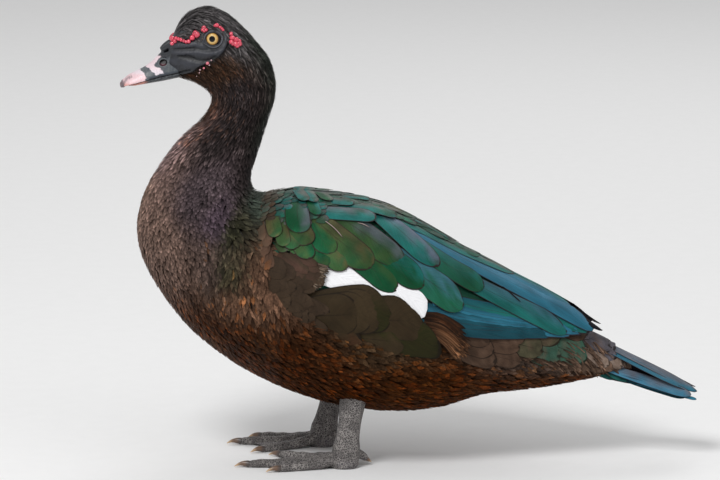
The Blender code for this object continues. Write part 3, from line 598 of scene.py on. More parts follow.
def make_beads():
    """The beads of each side in one piece, with painted shade where they touch and where they turn down.
    """
    work = bmesh.new()
    bmesh.ops.create_icosphere(work, subdivisions=3, radius=1)
    ball = np.array([v.co for v in work.verts])
    ball_faces = np.array([[v.index for v in f.verts] for f in work.faces])
    work.free()
    red = bead_finish()
    for side, word in SIDES:
        draw = np.random.default_rng(90)
        points, faces, tints = [], [], []
        x, z, sizes = np.array(BEADS + PALE_BEADS).T
        centres = body_point(*on_side(x, z, side), 0.45 * sizes)
        for k, (centre, size) in enumerate(zip(centres, sizes)):
            stretch = draw.uniform(0.88, 1.12, 3)
            bump = 1 + 0.07 * ripple(ball * 2, 1.6, 100 + k)
            points.append(centre + ball * size * stretch * bump[:, None])
            faces.append(ball_faces + k * len(ball))
            outward = ball[:, 1] * side * 0.6 + ball[:, 2] * 0.8
            colour = np.array(CORAL) * draw.uniform(0.8, 1.1)
            if k >= len(BEADS):
                colour = np.array(CORAL_PALE) if size > 0.9 else np.array(BEAD_WHITE)
            others = np.arange(len(sizes)) != k
            gap = np.linalg.norm(points[-1][:, None] - centres[others], axis=-1) - sizes[others] * 1.05
            # Painted shade: darker where a bead meets its neighbours and where it turns down and in.
            unshaded = ramp(-0.35, 0.3, gap.min(axis=1)) * ramp(-0.6, 0.3, outward)
            tints.append(blend(colour * (0.40, 0.20, 0.22), colour, unshaded))
        made = mesh_piece(f"caruncles_{word}", np.concatenate(points), np.concatenate(faces).tolist(),
                          red, "head_plumage", 80)
        set_tint(made.data, np.concatenate(tints))


make_beads()


# The bill is horn under thin skin: slate grey with a pale saddle and a pink tip, fleshy folds
# over the nostrils, and a hard nail that hooks down at its end. The lower bill is a thin strip.
BILL_SLICES = (  # x, top z, edge z and half width
    (-195, 360, 333, 12.6), (-203, 355.5, 331.3, 12.8), (-209, 350.5, 330, 12.6),
    (-214, 345.7, 328.6, 12.2), (-219, 340.8, 327.2, 11.9), (-225, 336.6, 325.6, 11.9),
    (-231, 333.5, 324, 12.3), (-237, 330.5, 322.4, 12.1), (-241, 327.3, 321, 10.2),
    (-243.5, 323.7, 319.6, 6.6), (-244.7, 320.6, 318.2, 3),
)
BILL_SLATE, BILL_BLUE, BILL_LINE = (0.105, 0.115, 0.122), (0.040, 0.050, 0.066), (0.012, 0.015, 0.022)
BILL_PINK, BILL_WHITE, BILL_ROSE = (0.80, 0.57, 0.60), (0.78, 0.70, 0.75), (0.70, 0.28, 0.22)
NOSTRIL_SHADOW, NOSTRIL_PINK = (0.006, 0.003, 0.004), (0.09, 0.025, 0.035)
NAIL_BROWN, TIP_GREY = (0.10, 0.075, 0.085), (0.085, 0.080, 0.098)
# Lines across the bill in side view (x, z), from its top to its edge.
TIP_LINE = (
    (-231, 339), (-228.8, 335.2), (-226.6, 333.8), (-224.5, 332.6), (-223.4, 330.1),
    (-222.2, 328.4), (-223.6, 326.9), (-221.6, 325.4), (-218, 323),
)
BAND_LINE = (
    (-224, 342), (-223.2, 336.9), (-219.8, 336.3), (-218.2, 334.3), (-215.6, 332.6),
    (-214.4, 330.5), (-213.1, 329.3), (-212, 324),
)
SADDLE_LINE = (
    (-206, 352), (-210.5, 345.8), (-212.6, 343.7), (-216, 339.4), (-215.4, 338.2), (-213.5, 337.3),
    (-210.1, 336.5), (-208.5, 334.3), (-207.2, 331.8), (-209.5, 329.6), (-214, 328.6), (-214, 324),
)
NAIL_LINE = ((-235.7, 329), (-238.7, 327.7), (-240.8, 325.1), (-242.1, 322.1), (-243.8, 319))
NAIL_PATH = (
    (-239.6, 0, 325.2, 2.6), (-241.6, 0, 323.4, 3.0), (-243, 0, 321.4, 2.8),
    (-243.7, 0, 319.3, 1.6),
)
NOSTRIL = (-208.2, 341.4)
LOWER_BILL_END = 7.1  # the slice at which the lower bill's tip lies under the upper
# Fleshy folds over the nostril, as paths of x, half width, z and radius.
KNOB_FOLDS = (
    ((-196, 10.8, 358.4, 2.2), (-201, 9.6, 356.9, 2.4), (-206, 7.6, 354.0, 2.4),
     (-209.6, 5.2, 350.9, 2.2)),
    ((-210, 5.6, 348.9, 2.2), (-207.4, 8.6, 347.7, 2.3), (-202.4, 11.2, 349.2, 2.4),
     (-198, 12.6, 351.2, 2.2), (-191, 13.2, 352, 1.5)),
    ((-210, 0, 350.2, 2.8), (-206, 0, 354.2, 3.4), (-200, 0, 358.4, 3.4)),
)


def tube_points(path, radii, around=16):
    """Points and faces of a closed tube along a path in mm."""
    path, radii = np.asarray(path, float), np.asarray(radii, float)
    ahead = np.gradient(path, axis=0)
    ahead /= np.linalg.norm(ahead, axis=1, keepdims=True)
    side = np.cross(ahead, (0.0, 0.0, 1.0))
    side /= np.maximum(np.linalg.norm(side, axis=1, keepdims=True), 1e-6)
    up = np.cross(side, ahead)
    t = circle(around)
    ring = side[:, None, :] * np.cos(t)[None, :, None] + up[:, None, :] * np.sin(t)[None, :, None]
    return closed_rings(path[:, None, :] + ring * radii[:, None, None], flip=True)


def melt_together(name, solids, voxel, rounds):
    """One smooth mesh from overlapping closed solids, as points and faces in mm."""
    points, faces, count = [], [], 0
    for solid, solid_faces in solids:
        points.append(np.asarray(solid))
        faces += [[i + count for i in f] for f in solid_faces]
        count += len(solid)
    mesh = bpy.data.meshes.new(name)
    mesh.from_pydata(np.concatenate(points).tolist(), [], faces)
    work = bmesh.new()
    work.from_mesh(mesh)
    bmesh.ops.triangulate(work, faces=[f for f in work.faces if len(f.verts) > 4])
    work.to_mesh(mesh)
    work.free()
    thing = add_object(name, mesh)
    melt = thing.modifiers.new("melt", "REMESH")
    melt.mode, melt.voxel_size = "VOXEL", voxel
    soft = thing.modifiers.new("soft", "SMOOTH")
    soft.factor, soft.iterations = 0.5, rounds
    made = thing.evaluated_get(bpy.context.evaluated_depsgraph_get()).to_mesh()
    found = np.zeros(len(made.vertices) * 3)
    made.vertices.foreach_get("co", found)
    found_faces = [tuple(f.vertices) for f in made.polygons]
    thing.to_mesh_clear()
    bpy.data.objects.remove(thing)
    bpy.data.meshes.remove(mesh)
    return found.reshape(-1, 3), found_faces


def side_of(x, z, line):
    """How far (mm) places in side view lie in front of a line that runs down across the bill."""
    order = sorted(line, key=lambda corner: corner[1])
    return np.interp(z, [c[1] for c in order], [c[0] for c in order]) - x


def bill_tint(points):
    """The bill's colours, and how far (mm) each point lies from the middle of the nostril."""
    x, z = points[:, 0] + 0.25 * ripple(points, 2.2, 111), points[:, 2] + 0.25 * ripple(points, 2.6, 112)
    fine = ripple(points, 1.3, 113)
    slate = blend(BILL_SLATE, BILL_BLUE, 0.35 + 0.3 * np.clip(ripple(points, 5, 114), -1, 1))
    slate = slate * (1 + 0.2 * fine)[:, None]
    slate = blend(slate, np.array(FACE_SLATE) * 1.6, ramp(344, 348, z) * 0.85)
    saddle = np.array(BILL_WHITE) * (0.97 + 0.05 * fine)[:, None]
    saddle = blend(saddle, BILL_PINK, ramp(333, 338, z) * 0.5)
    pink = blend(BILL_PINK, BILL_WHITE, ramp(330, 333, z) * 0.85)
    pink = blend(pink, BILL_ROSE, ramp(325.2, 321.5, z + 0.1 * (x + 235)) * 0.75)
    tint = blend(slate, saddle, ramp(-0.25, 0.25, side_of(x, z, SADDLE_LINE)) * ramp(346.9, 346.1, z))
    tint = blend(tint, slate * 1.15, ramp(-0.2, 0.2, side_of(x, z, BAND_LINE)))
    tint = blend(tint, pink, ramp(-0.2, 0.2, side_of(x, z, TIP_LINE)))
    nail = near_line(x, z, NAIL_LINE)
    tint = blend(tint, NAIL_BROWN, ramp(1.5, 0.3, nail + 0.5 * fine) * 0.6)
    tint = blend(tint, TIP_GREY, ramp(-240.2, -242.2, x + 0.45 * (z - 322)) * 0.85)
    slice_x, _, slice_edge, _ = np.array(BILL_SLICES[::-1]).T
    edge = np.interp(x, slice_x, slice_edge)
    lip = ramp(3.0, 2.2, z - edge) * ramp(-222, -219, x)
    tint = blend(tint, blend(BILL_BLUE, BILL_LINE, ramp(1.6, 0.8, z - edge)), lip)
    ahead, above = points[:, 0] - NOSTRIL[0], points[:, 2] - NOSTRIL[1]
    hole = np.hypot(ahead * 0.94 + above * 0.34, (above * 0.94 - ahead * 0.34) * 1.25)
    on_a_side = np.abs(points[:, 1]) > 3
    tint = blend(tint, BILL_SLATE, ramp(5.2, 4.2, hole) * on_a_side * 0.7)
    # The nostril's hollow is black as painted shade, with pink flesh at its bottom.
    inside = blend(NOSTRIL_SHADOW, NOSTRIL_PINK, ramp(-0.6, -1.8, above))
    return blend(tint, inside, ramp(3.6, 3.1, hole) * on_a_side), hole


def bill_finish():
    """Fine-grained horn with small pits."""
    p, finish = start_finish("bill")
    place = p.place()
    tint = p.stored("tint")
    grain = p.noise(place, 1100, 3, 0.6)
    pits = p.cells(place, 900).rise(0.05, 0.35)
    dark = (grain.rise(0.35, 0.65) * 0.16).tint(tint, (*BILL_LINE, 1))
    return finish(Base_Color=dark, Roughness=grain.rise(0.3, 0.7, 0.34, 0.5), Specular_IOR_Level=0.5,
                  Normal=p.bump(grain * 0.5 + pits * 0.5, 0.3, 0.00025))


def make_upper_bill(horn):
    """The upper bill is melted together from an arch, its folds and the front of the face."""
    x, top, edge, half = np.moveaxis(smooth(BILL_SLICES, np.linspace(0, 10, 90))[:, None], -1, 0)
    t = np.linspace(-1, 1, 61) * math.pi / 2
    arch = join(x, half * np.sin(t), edge + (top - edge) * np.cos(t) ** 1.15)
    under = join(x, half * np.linspace(0.93, -0.93, 15),
                 edge + 0.9 * (1 - np.linspace(-1, 1, 15) ** 4) * ramp(0, 3, top - edge))
    solids = [closed_rings(np.concatenate([arch, under], axis=1))]
    for path in KNOB_FOLDS:
        for side in (LEFT, RIGHT):
            steps = smooth(path, np.linspace(0, len(path) - 1, 17))
            ends = np.minimum(1, 0.45 + 1.4 * np.sin(np.linspace(0, math.pi, 17)))
            if path[0][1] or side == RIGHT:
                solids.append(tube_points(steps[:, :3] * (1, side, 1), steps[:, 3] * ends))
    at, angle = np.meshgrid(np.linspace(26.6, LAST_SLICE, 40), circle(120, -math.pi), indexing="ij")
    rim = body_point(at, angle)
    swell = -0.9 + 1.25 * ramp(26.8, 28.3, at) + face_relief(rim) * ramp(2, 8, np.abs(rim[..., 1]))
    solids.append(closed_rings(body_point(at, angle, swell), flip=True))
    nail = np.array(NAIL_PATH)
    nail_points, nail_faces = tube_points(nail[:, :3], nail[:, 3], 20)
    solids.append((nail_points * (1, 1.25, 1), nail_faces))
    points, faces = melt_together("bill", solids, 0.42, 7)
    tint, hole = bill_tint(points)
    deep = 2.8 * ramp(3.6, 2.5, hole) - 0.4 * np.exp(-((hole - 4.1) / 0.6) ** 2)
    points[:, 1] -= np.sign(points[:, 1]) * deep * (np.abs(points[:, 1]) > 3)
    made = mesh_piece("bill_horn", points, faces, horn, "bill_horn", 80)
    set_tint(made.data, tint)
    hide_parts("bill_upper")


def make_lower_bill(horn):
    """A shallow trough under the upper bill's edge, rosy at its tip."""
    at = np.linspace(0, LOWER_BILL_END, 50)[:, None]
    x, _, edge, half = np.moveaxis(smooth(BILL_SLICES, at), -1, 0)
    half = half - 1.0
    deep = (1.3 + 3.4 * np.minimum(1, (x + 239) / 30)) * ramp(-0.02, 0.12, 1 - at / LOWER_BILL_END)
    t = np.linspace(-1, 1, 41) * math.pi / 2
    low = join(x, half * np.sin(t), edge - 0.5 - deep * np.cos(t) ** 0.8)
    top = join(x, half * np.linspace(0.9, -0.9, 9), edge - 0.45)
    points, faces = closed_rings(np.concatenate([low, top], axis=1), flip=True)
    lower = mesh_piece("bill_strip", points, faces, horn, "bill_horn", 60)
    shade = blend(BILL_LINE, BILL_SLATE, 0.4 + 0.4 * np.clip(ripple(points, 4, 115), -1, 1))
    set_tint(lower.data, blend(shade, BILL_ROSE, ramp(-220, -226, points[:, 0]) * 0.8))
    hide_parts("bill_lower")


bill_shine = bill_finish()
make_upper_bill(bill_shine)
make_lower_bill(bill_shine)


# The coat is thousands of small feathers, each a thin closed vane rooted in the skin. They
# lie towards the tail and overlap like tiles: fine and hair-like on the head and neck,
# rounded on breast and belly, broad and loose on the rump.
CROWN_TURN = math.radians(62)
SMALL_PATCH = 0.003  # of the bake square, for one small feather
ROOT_TRIES = 4.0  # places tried for each root there is room for
ROOTS_APART = 0.72  # least distance between two roots squared, over their spacing squared
COAT_EDGE = (0.006, 0.004, 0.003, 1)


def vane_faces(rows, columns):
    """Faces of one vane: an arched top, a flat underside, and its two ends."""
    grid = np.arange(rows * columns).reshape(rows, columns)
    faces = []
    for i in range(rows - 1):
        for k in range(columns - 1):
            faces.append((grid[i, k], grid[i, k + 1], grid[i + 1, k + 1], grid[i + 1, k]))
        faces.append((grid[i, 0], grid[i + 1, 0], grid[i + 1, -1], grid[i, -1]))
    faces.append(tuple(grid[0][::-1]))
    faces.append(tuple(grid[-1]))
    return faces


def feather_piece(name, points, tints, roots, finish, slot, patch=SMALL_PATCH, steps=None, rims=None):
    """One mesh of many vanes. points and tints are by feather, row and column."""
    count, rows, columns, _ = points.shape
    faces = vane_faces(rows, columns)
    sizes = np.tile([len(f) for f in faces], count)
    fans = np.array([(f[0], f[k], f[k + 1]) for f in faces for k in range(1, len(f) - 1)])
    flat = points.reshape(count, -1, 3) - points[:, :1, 0]
    solid = np.sum(flat[:, fans[:, 0]] * np.cross(flat[:, fans[:, 1]], flat[:, fans[:, 2]]), axis=(1, 2))
    turned = np.concatenate([f[::-1] for f in faces])
    outward = np.where(solid[:, None] < 0, turned, np.concatenate(faces))
    corners = (outward + (np.arange(count) * rows * columns)[:, None]).ravel()
    mesh = bpy.data.meshes.new(name)
    mesh.vertices.add(count * rows * columns)
    mesh.vertices.foreach_set("co", (points * MM).astype(np.float32).ravel())
    mesh.loops.add(len(corners))
    mesh.loops.foreach_set("vertex_index", corners.astype(np.int32))
    mesh.polygons.add(len(sizes))
    mesh.polygons.foreach_set("loop_start", np.concatenate([[0], np.cumsum(sizes)[:-1]]).astype(np.int32))
    mesh.update(calc_edges=True)
    mesh.shade_smooth()
    mesh.set_sharp_from_angle(angle=math.radians(75))
    set_tint(mesh, tints)
    if rims is not None:
        set_share(mesh, "rim", rims)
    v, c = (np.linspace(0, 1, rows), np.linspace(-1, 1, columns)) if steps is None else steps
    across = np.broadcast_to((c + 1) / 2, (count, rows, columns))
    along = np.broadcast_to(v[:, None], (count, rows, columns))
    own = np.stack([across, along], axis=-1).reshape(-1, 2)[corners]
    spot = np.broadcast_to(roots[:, None, None, :], (count, rows, columns, 2)).reshape(-1, 2)[corners]
    set_uv(mesh, "vane", own)
    set_uv(mesh, "OFBake", np.clip(spot + (own - 0.5) * patch, 0.0005, 0.9995))
    return dress(name, mesh, finish, slot)


def too_near(spot, others, limit):
    """Whether any other place is nearer than the square root of a limit."""
    x, y, z = spot
    return any((x - a) ** 2 + (y - b) ** 2 + (z - c) ** 2 < limit for a, b, c in others)


def body_frame(at, angle):
    """A point of the body, its outward normal, and how it moves along and round the body."""
    step = 0.02
    along = (body_point(at + step, angle) - body_point(at - step, angle)) / (2 * step)
    beside = (body_point(at, angle + step) - body_point(at, angle - step)) / (2 * step)
    normal = np.cross(along, beside)
    normal /= np.maximum(np.linalg.norm(normal, axis=-1, keepdims=True), 1e-9)
    return body_point(at, angle), normal, along, beside


def scatter(spacing, keep, seed):
    """Roots spread evenly over the body, spaced by a function of slice and angle."""
    draw = np.random.default_rng(seed)
    around = 180
    edges_at, edges_turn = np.linspace(0, LAST_SLICE, 291), np.linspace(-math.pi, math.pi, around + 1)
    mid_at, mid_turn = (edges_at[1:] + edges_at[:-1]) / 2, (edges_turn[1:] + edges_turn[:-1]) / 2
    at, turn = np.meshgrid(mid_at, mid_turn, indexing="ij")
    place, _, along, beside = body_frame(at, turn)
    area = np.linalg.norm(np.cross(along, beside), axis=-1)
    area = area * (edges_at[1] * (edges_turn[1] - edges_turn[0]))
    weight = np.where(keep(at, turn, place), area / spacing(at, turn) ** 2, 0).ravel()
    tries = int(ROOT_TRIES * weight.sum())
    cell = draw.choice(weight.size, tries, p=weight / weight.sum())
    at = mid_at[cell // around] + draw.uniform(-0.5, 0.5, tries) * edges_at[1]
    turn = mid_turn[cell % around] + draw.uniform(-0.5, 0.5, tries) * (edges_turn[1] - edges_turn[0])
    place, gap = body_point(at, turn), spacing(at, turn)
    size = float(gap.max())
    boxes, kept = {}, []
    nearby = [(dx, dy, dz) for dx in (-1, 0, 1) for dy in (-1, 0, 1) for dz in (-1, 0, 1)]
    keys = np.floor(place / size).astype(int)
    for i, ((kx, ky, kz), spot, apart) in enumerate(zip(keys.tolist(), place.tolist(), gap.tolist())):
        limit = apart * apart * ROOTS_APART
        near = (boxes.get((kx + dx, ky + dy, kz + dz), ()) for dx, dy, dz in nearby)
        if not any(too_near(spot, others, limit) for others in near):
            boxes.setdefault((kx, ky, kz), []).append(spot)
            kept.append(i)
    return at[kept], turn[kept]


def lie_on_body(at, angle, length, half, turn, lifts, rows, columns, taper, ragged, seed):
    """Vanes over the body: from roots, each along its heading, between two lifts off the outline."""
    draw = np.random.default_rng(seed)
    count = len(at)
    _, normal, along, beside = body_frame(at, angle)
    back = -along / np.linalg.norm(along, axis=-1, keepdims=True)
    down = np.cross(back, normal) * np.where(angle < 0, -1, 1)[:, None]
    down *= np.sign(np.sum(down * beside, axis=-1) * np.where(angle < 0, -1, 1))[:, None]
    way = back * np.cos(turn)[:, None] + down * np.sin(turn)[:, None]
    aa, ab, bb = (np.sum(p * q, axis=-1) for p, q in ((along, along), (along, beside), (beside, beside)))
    wa, wb = np.sum(way * along, axis=-1), np.sum(way * beside, axis=-1)
    det = aa * bb - ab * ab + 1e-6
    step_at = (wa * bb - wb * ab) / det * length
    step_turn = (wb * aa - wa * ab) / det * length
    v = np.linspace(0, 1, rows) ** 0.85
    place_at = at[:, None] + step_at[:, None] * v
    place_turn = angle[:, None] + step_turn[:, None] * v
    place, out, _, _ = body_frame(place_at, place_turn)
    ahead = np.gradient(place, axis=1)
    ahead /= np.maximum(np.linalg.norm(ahead, axis=-1, keepdims=True), 1e-9)
    side = np.cross(out, ahead)
    width = half[:, None] * taper(v)[None, :]
    c = np.linspace(-1, 1, columns)
    lift = lifts[0][:, None] + (lifts[1] - lifts[0])[:, None] * v ** 0.75
    crown = 0.16 * width[..., None] * (1 - c ** 2)
    torn = draw.uniform(-1, 1, (count, 1, columns)) * ragged * (v ** 2)[None, :, None]
    points = place[:, :, None, :] + side[:, :, None, :] * (width[..., None] * c)[..., None]
    points = points + out[:, :, None, :] * (lift[..., None] + crown)[..., None]
    return points + ahead[:, :, None, :] * (torn * length[:, None, None])[..., None]


def hair_taper(v):
    """How wide a hair-like feather is along its length."""
    return (0.55 + 0.45 * np.minimum(1, v * 3)) * np.sqrt(np.clip(1.02 - v ** 1.6, 0, 1)) + 0.03


def round_taper(v):
    """How wide a round feather is along its length."""
    rise = 0.35 + 0.65 * np.sin(np.minimum(1, v / 0.6) * math.pi / 2)
    return rise * np.sqrt(np.clip(1.02 - np.clip((v - 0.45) / 0.55, 0, 1) ** 2.4, 0, 1)) + 0.02


def split_vane(p):
    """How far across (0 to 1, the shaft at a half) and along a vane a point is."""
    flat = p.node("UVMap", {"uv_map": "vane"})
    return [p.node("SeparateXYZ", {}, {0: flat}, k) for k in (0, 1)]


def coat_finish(name, gloss):
    """Soft barbs off a shaft, mottled, with a dark edge."""
    p, finish = start_finish(name)
    across, along = split_vane(p)
    edge = (across - 0.5).apart() * 2
    barb = p.noise(along * 9 - edge * 3 + across * 0.6, 7, 2, 0.6, "1D")
    grain = p.noise(p.place(), 520, 3, 0.6)
    tint = p.stored("tint")
    streak = barb.rise(0.25, 0.75, 0.6, 1.4) * grain.rise(0.25, 0.75, 0.6, 1.4)
    colour = (edge.rise(0.6, 1.0) * 0.3).tint(tint.times(streak), COAT_EDGE)
    return finish(Base_Color=colour, Roughness=barb.rise(0.2, 0.8, 0.42, 0.62), Specular_IOR_Level=gloss,
                  Normal=p.bump(barb, 0.6, 0.0004))


small_feathers = coat_finish("small_feathers", 0.06)
belly_feathers = coat_finish("belly_feathers", 0.025)


def shade_vanes(tints, rows, columns, root_shade, tip_glint):
    """Spreads each feather's tint over its rows, with painted shade at its root and a painted glint at
    its tip.
    """
    v = np.linspace(0, 1, rows)
    level = root_shade + (1 - root_shade) * ramp(0.05, 0.55, v)
    level = level[None, :] * (1 + tip_glint[:, None] * ramp(0.6, 0.95, v)[None, :])
    return np.broadcast_to((tints[:, None, :] * level[..., None])[:, :, None, :],
                           (len(tints), rows, columns, 3))


def make_head_feathers():
    """Fine hair-like feathers, longer and shaggy over the crown and down the nape."""

    def spacing(at, turn):
        return 1.4 + 0.25 * ramp(20, 17, at)

    def covered(at, turn, place):
        return (at > 15.6) & (bare_share(place) * ramp(*FACE_FROM, at) < 0.5)

    at, angle = scatter(spacing, covered, 31)
    draw = np.random.default_rng(32)
    count = len(at)
    turned = np.abs(angle)
    crest = ramp(CROWN_TURN * 1.3, CROWN_TURN * 0.7, turned) * ramp(18.5, 21.5, at)
    length = (5.5 + 2.0 * ramp(20, 16, at) + 9.5 * crest) * draw.uniform(0.8, 1.25, count)
    half = (0.62 + 0.12 * crest + 0.35 * ramp(19, 16, at)) * draw.uniform(0.75, 1.2, count)
    turn = draw.normal(0, 0.12, count) + 0.22 * ramp(0.2, 1.2, turned) * ramp(22, 26, at)
    turn = turn + 0.16 * crest * draw.normal(0, 1, count)
    base = -coat_depth(at) * 0.8
    tip = 0.1 + draw.uniform(-0.4, 0.4, count) + crest * draw.uniform(0, 1, count)
    points = lie_on_body(at, angle, length, half, turn, (base, tip), 5, 3, hair_taper, 0.0, 33)
    place = body_point(at, angle)
    level = np.exp(0.3 * ripple(place, 9, 34) + draw.normal(0, 0.42 + 0.2 * crest, count))
    tints = coat_tint(at, angle) * np.clip(level, 0.3, 4.0)[:, None]
    rusty = (draw.uniform(0, 1, count) < 0.16) & (turned > 1.2) & (at > 17)
    tints[rusty] = tints[rusty] * (1.7, 1.35, 1.1)
    # Painted shade at the feathers' roots and painted glints at their tips.
    shaded = shade_vanes(tints, 5, 3, 0.4, draw.uniform(0, 0.8, count))
    for part, chosen in (("head", at > 19), ("neck", at <= 19)):
        feather_piece(part + "_feathers", points[chosen], shaded[chosen], skin_unwrap(at, angle)[chosen],
                      small_feathers, "head_plumage" if part == "head" else "body_plumage")


make_head_feathers()


def make_body_feathers():
    """The rounded feathers of lower neck, breast, belly and rump."""

    def spacing(at, turn):
        return (1.75 + 0.45 * ramp(14.5, 12, at) + 0.5 * ramp(12, 9.5, at) + 0.35 * ramp(9, 7, at)
                + 0.3 * ramp(3.5, 1, at))

    def covered(at, turn, place):
        under_wing = (np.abs(turn) < 1.35) & (at > 2.6) & (at < 9.6) & (np.abs(turn) > 0.30)
        return (at <= 15.8) & (at > 0.5 + 1.0 * (np.abs(turn) < 1.0)) & ~under_wing

    at, angle = scatter(spacing, covered, 41)
    draw = np.random.default_rng(42)
    count = len(at)
    turned = np.abs(angle)
    place, gap = body_point(at, angle), spacing(at, angle)
    upper = ramp(11.5, 13.5, at)
    length = gap * (3.9 - 0.6 * upper) * draw.uniform(0.8, 1.25, count)
    half = gap * (0.70 + 0.20 * upper) * draw.uniform(0.8, 1.2, count)
    turn = draw.normal(0, 0.2, count)
    turn = turn + 0.25 * ramp(0.3, 1.2, turned) * ramp(12, 9, at) * ramp(2.4, 1.4, turned)
    hang = ramp(12.2, 11.2, at) * ramp(8.4, 9.4, at) * ramp(0.8, 1.15, turned) * ramp(2.2, 1.7, turned)
    turn = turn + 0.85 * hang
    length = length * (1 + 0.35 * hang)
    base = -coat_depth(at) * 0.6
    tip = draw.uniform(-0.35, 0.35, count) + 0.2 * ramp(9, 5, at)
    tints = coat_tint(at, angle)
    mottle = 0.26 * ripple(place * (1, 1, 1.6), 9, 44) + 0.16 * ripple(place, 30, 45)
    mottle = mottle + draw.normal(0, 0.3, count)
    tints = tints * np.clip(np.exp(mottle * (1 - 0.25 * upper)), 0.3, 3.0)[:, None]
    lower = ramp(1.2, 2.0, turned) * ramp(12.5, 9, at)
    rusty = draw.uniform(0, 1, count) < 0.3 * lower
    tints[rusty] = tints[rusty] * (1.8, 1.35, 0.9)
    # How much each feather's tip is lightened as a painted glint.
    light = draw.uniform(0.0, 0.5, count) + 0.8 * upper * draw.uniform(0, 1, count)
    cuts = (("lower_neck", at > 12.6, 4, 3), ("breast", (at <= 12.6) & (at > 9.2), 5, 3),
            ("belly", (at <= 9.2) & (at > 5), 5, 3), ("rump", at <= 5, 5, 3))
    for part, chosen, rows, columns in cuts:
        picked = [a[chosen] for a in (at, angle, length, half, turn)]
        points = lie_on_body(*picked, (base[chosen], tip[chosen]), rows, columns, round_taper, 0.10, 43)
        shaded = shade_vanes(tints[chosen], rows, columns, 0.5, light[chosen])
        feather_piece(part + "_feathers", points, shaded, skin_unwrap(at, angle)[chosen],
                      belly_feathers if part in ("belly", "rump") else small_feathers, "body_plumage")


make_body_feathers()


# Each folded wing is tiers of broad green vanes on a curved sheet over the flank: small
# coverts in front, large rounded lobes, long tertials over the rump, and blue secondaries
# and a white patch showing below. They are glossy and edged in dark purple.
WING_SLICES = (
    (-155, 215, 58, 150), (-130, 227, 74, 150), (-100, 232, 85, 146), (-65, 228.5, 90, 138),
    (-30, 221.5, 90, 131), (5, 206.5, 85, 124), (40, 186, 75, 117), (75, 167.5, 61, 112),
    (110, 149.5, 45, 108), (140, 133, 31, 106), (165, 117, 20, 104),
)
OLIVE, GREEN, EMERALD = (0.080, 0.078, 0.032), (0.034, 0.080, 0.026), (0.005, 0.070, 0.027)
JADE, TEAL, DEEP = (0.012, 0.096, 0.058), (0.012, 0.135, 0.122), (0.010, 0.068, 0.092)
BLUE, SKY, MAUVE = (0.026, 0.150, 0.225), (0.055, 0.190, 0.290), (0.080, 0.102, 0.112)
LILAC, LAGOON = (0.105, 0.140, 0.190), (0.045, 0.140, 0.180)
# The near-black colours vanes that are painted shadow: the slits between wing feathers and the hollow of
# the tail.
GREY, SHADOW_BLACK = (0.110, 0.122, 0.104), (0.006, 0.006, 0.008)
WHITE, SHAFT = (0.86, 0.86, 0.88), (0.42, 0.34, 0.31)
WING_EDGE, BARB_PINK = (0.028, 0.014, 0.016, 1), (0.110, 0.075, 0.085, 1)
WHITE_EDGE, BARB_WHITE = (0.7, 0.7, 0.72, 1), (0.9, 0.9, 0.9, 1)
SIDE_EDGE, BARB_COPPER = (0.009, 0.006, 0.004, 1), (0.085, 0.042, 0.020, 1)
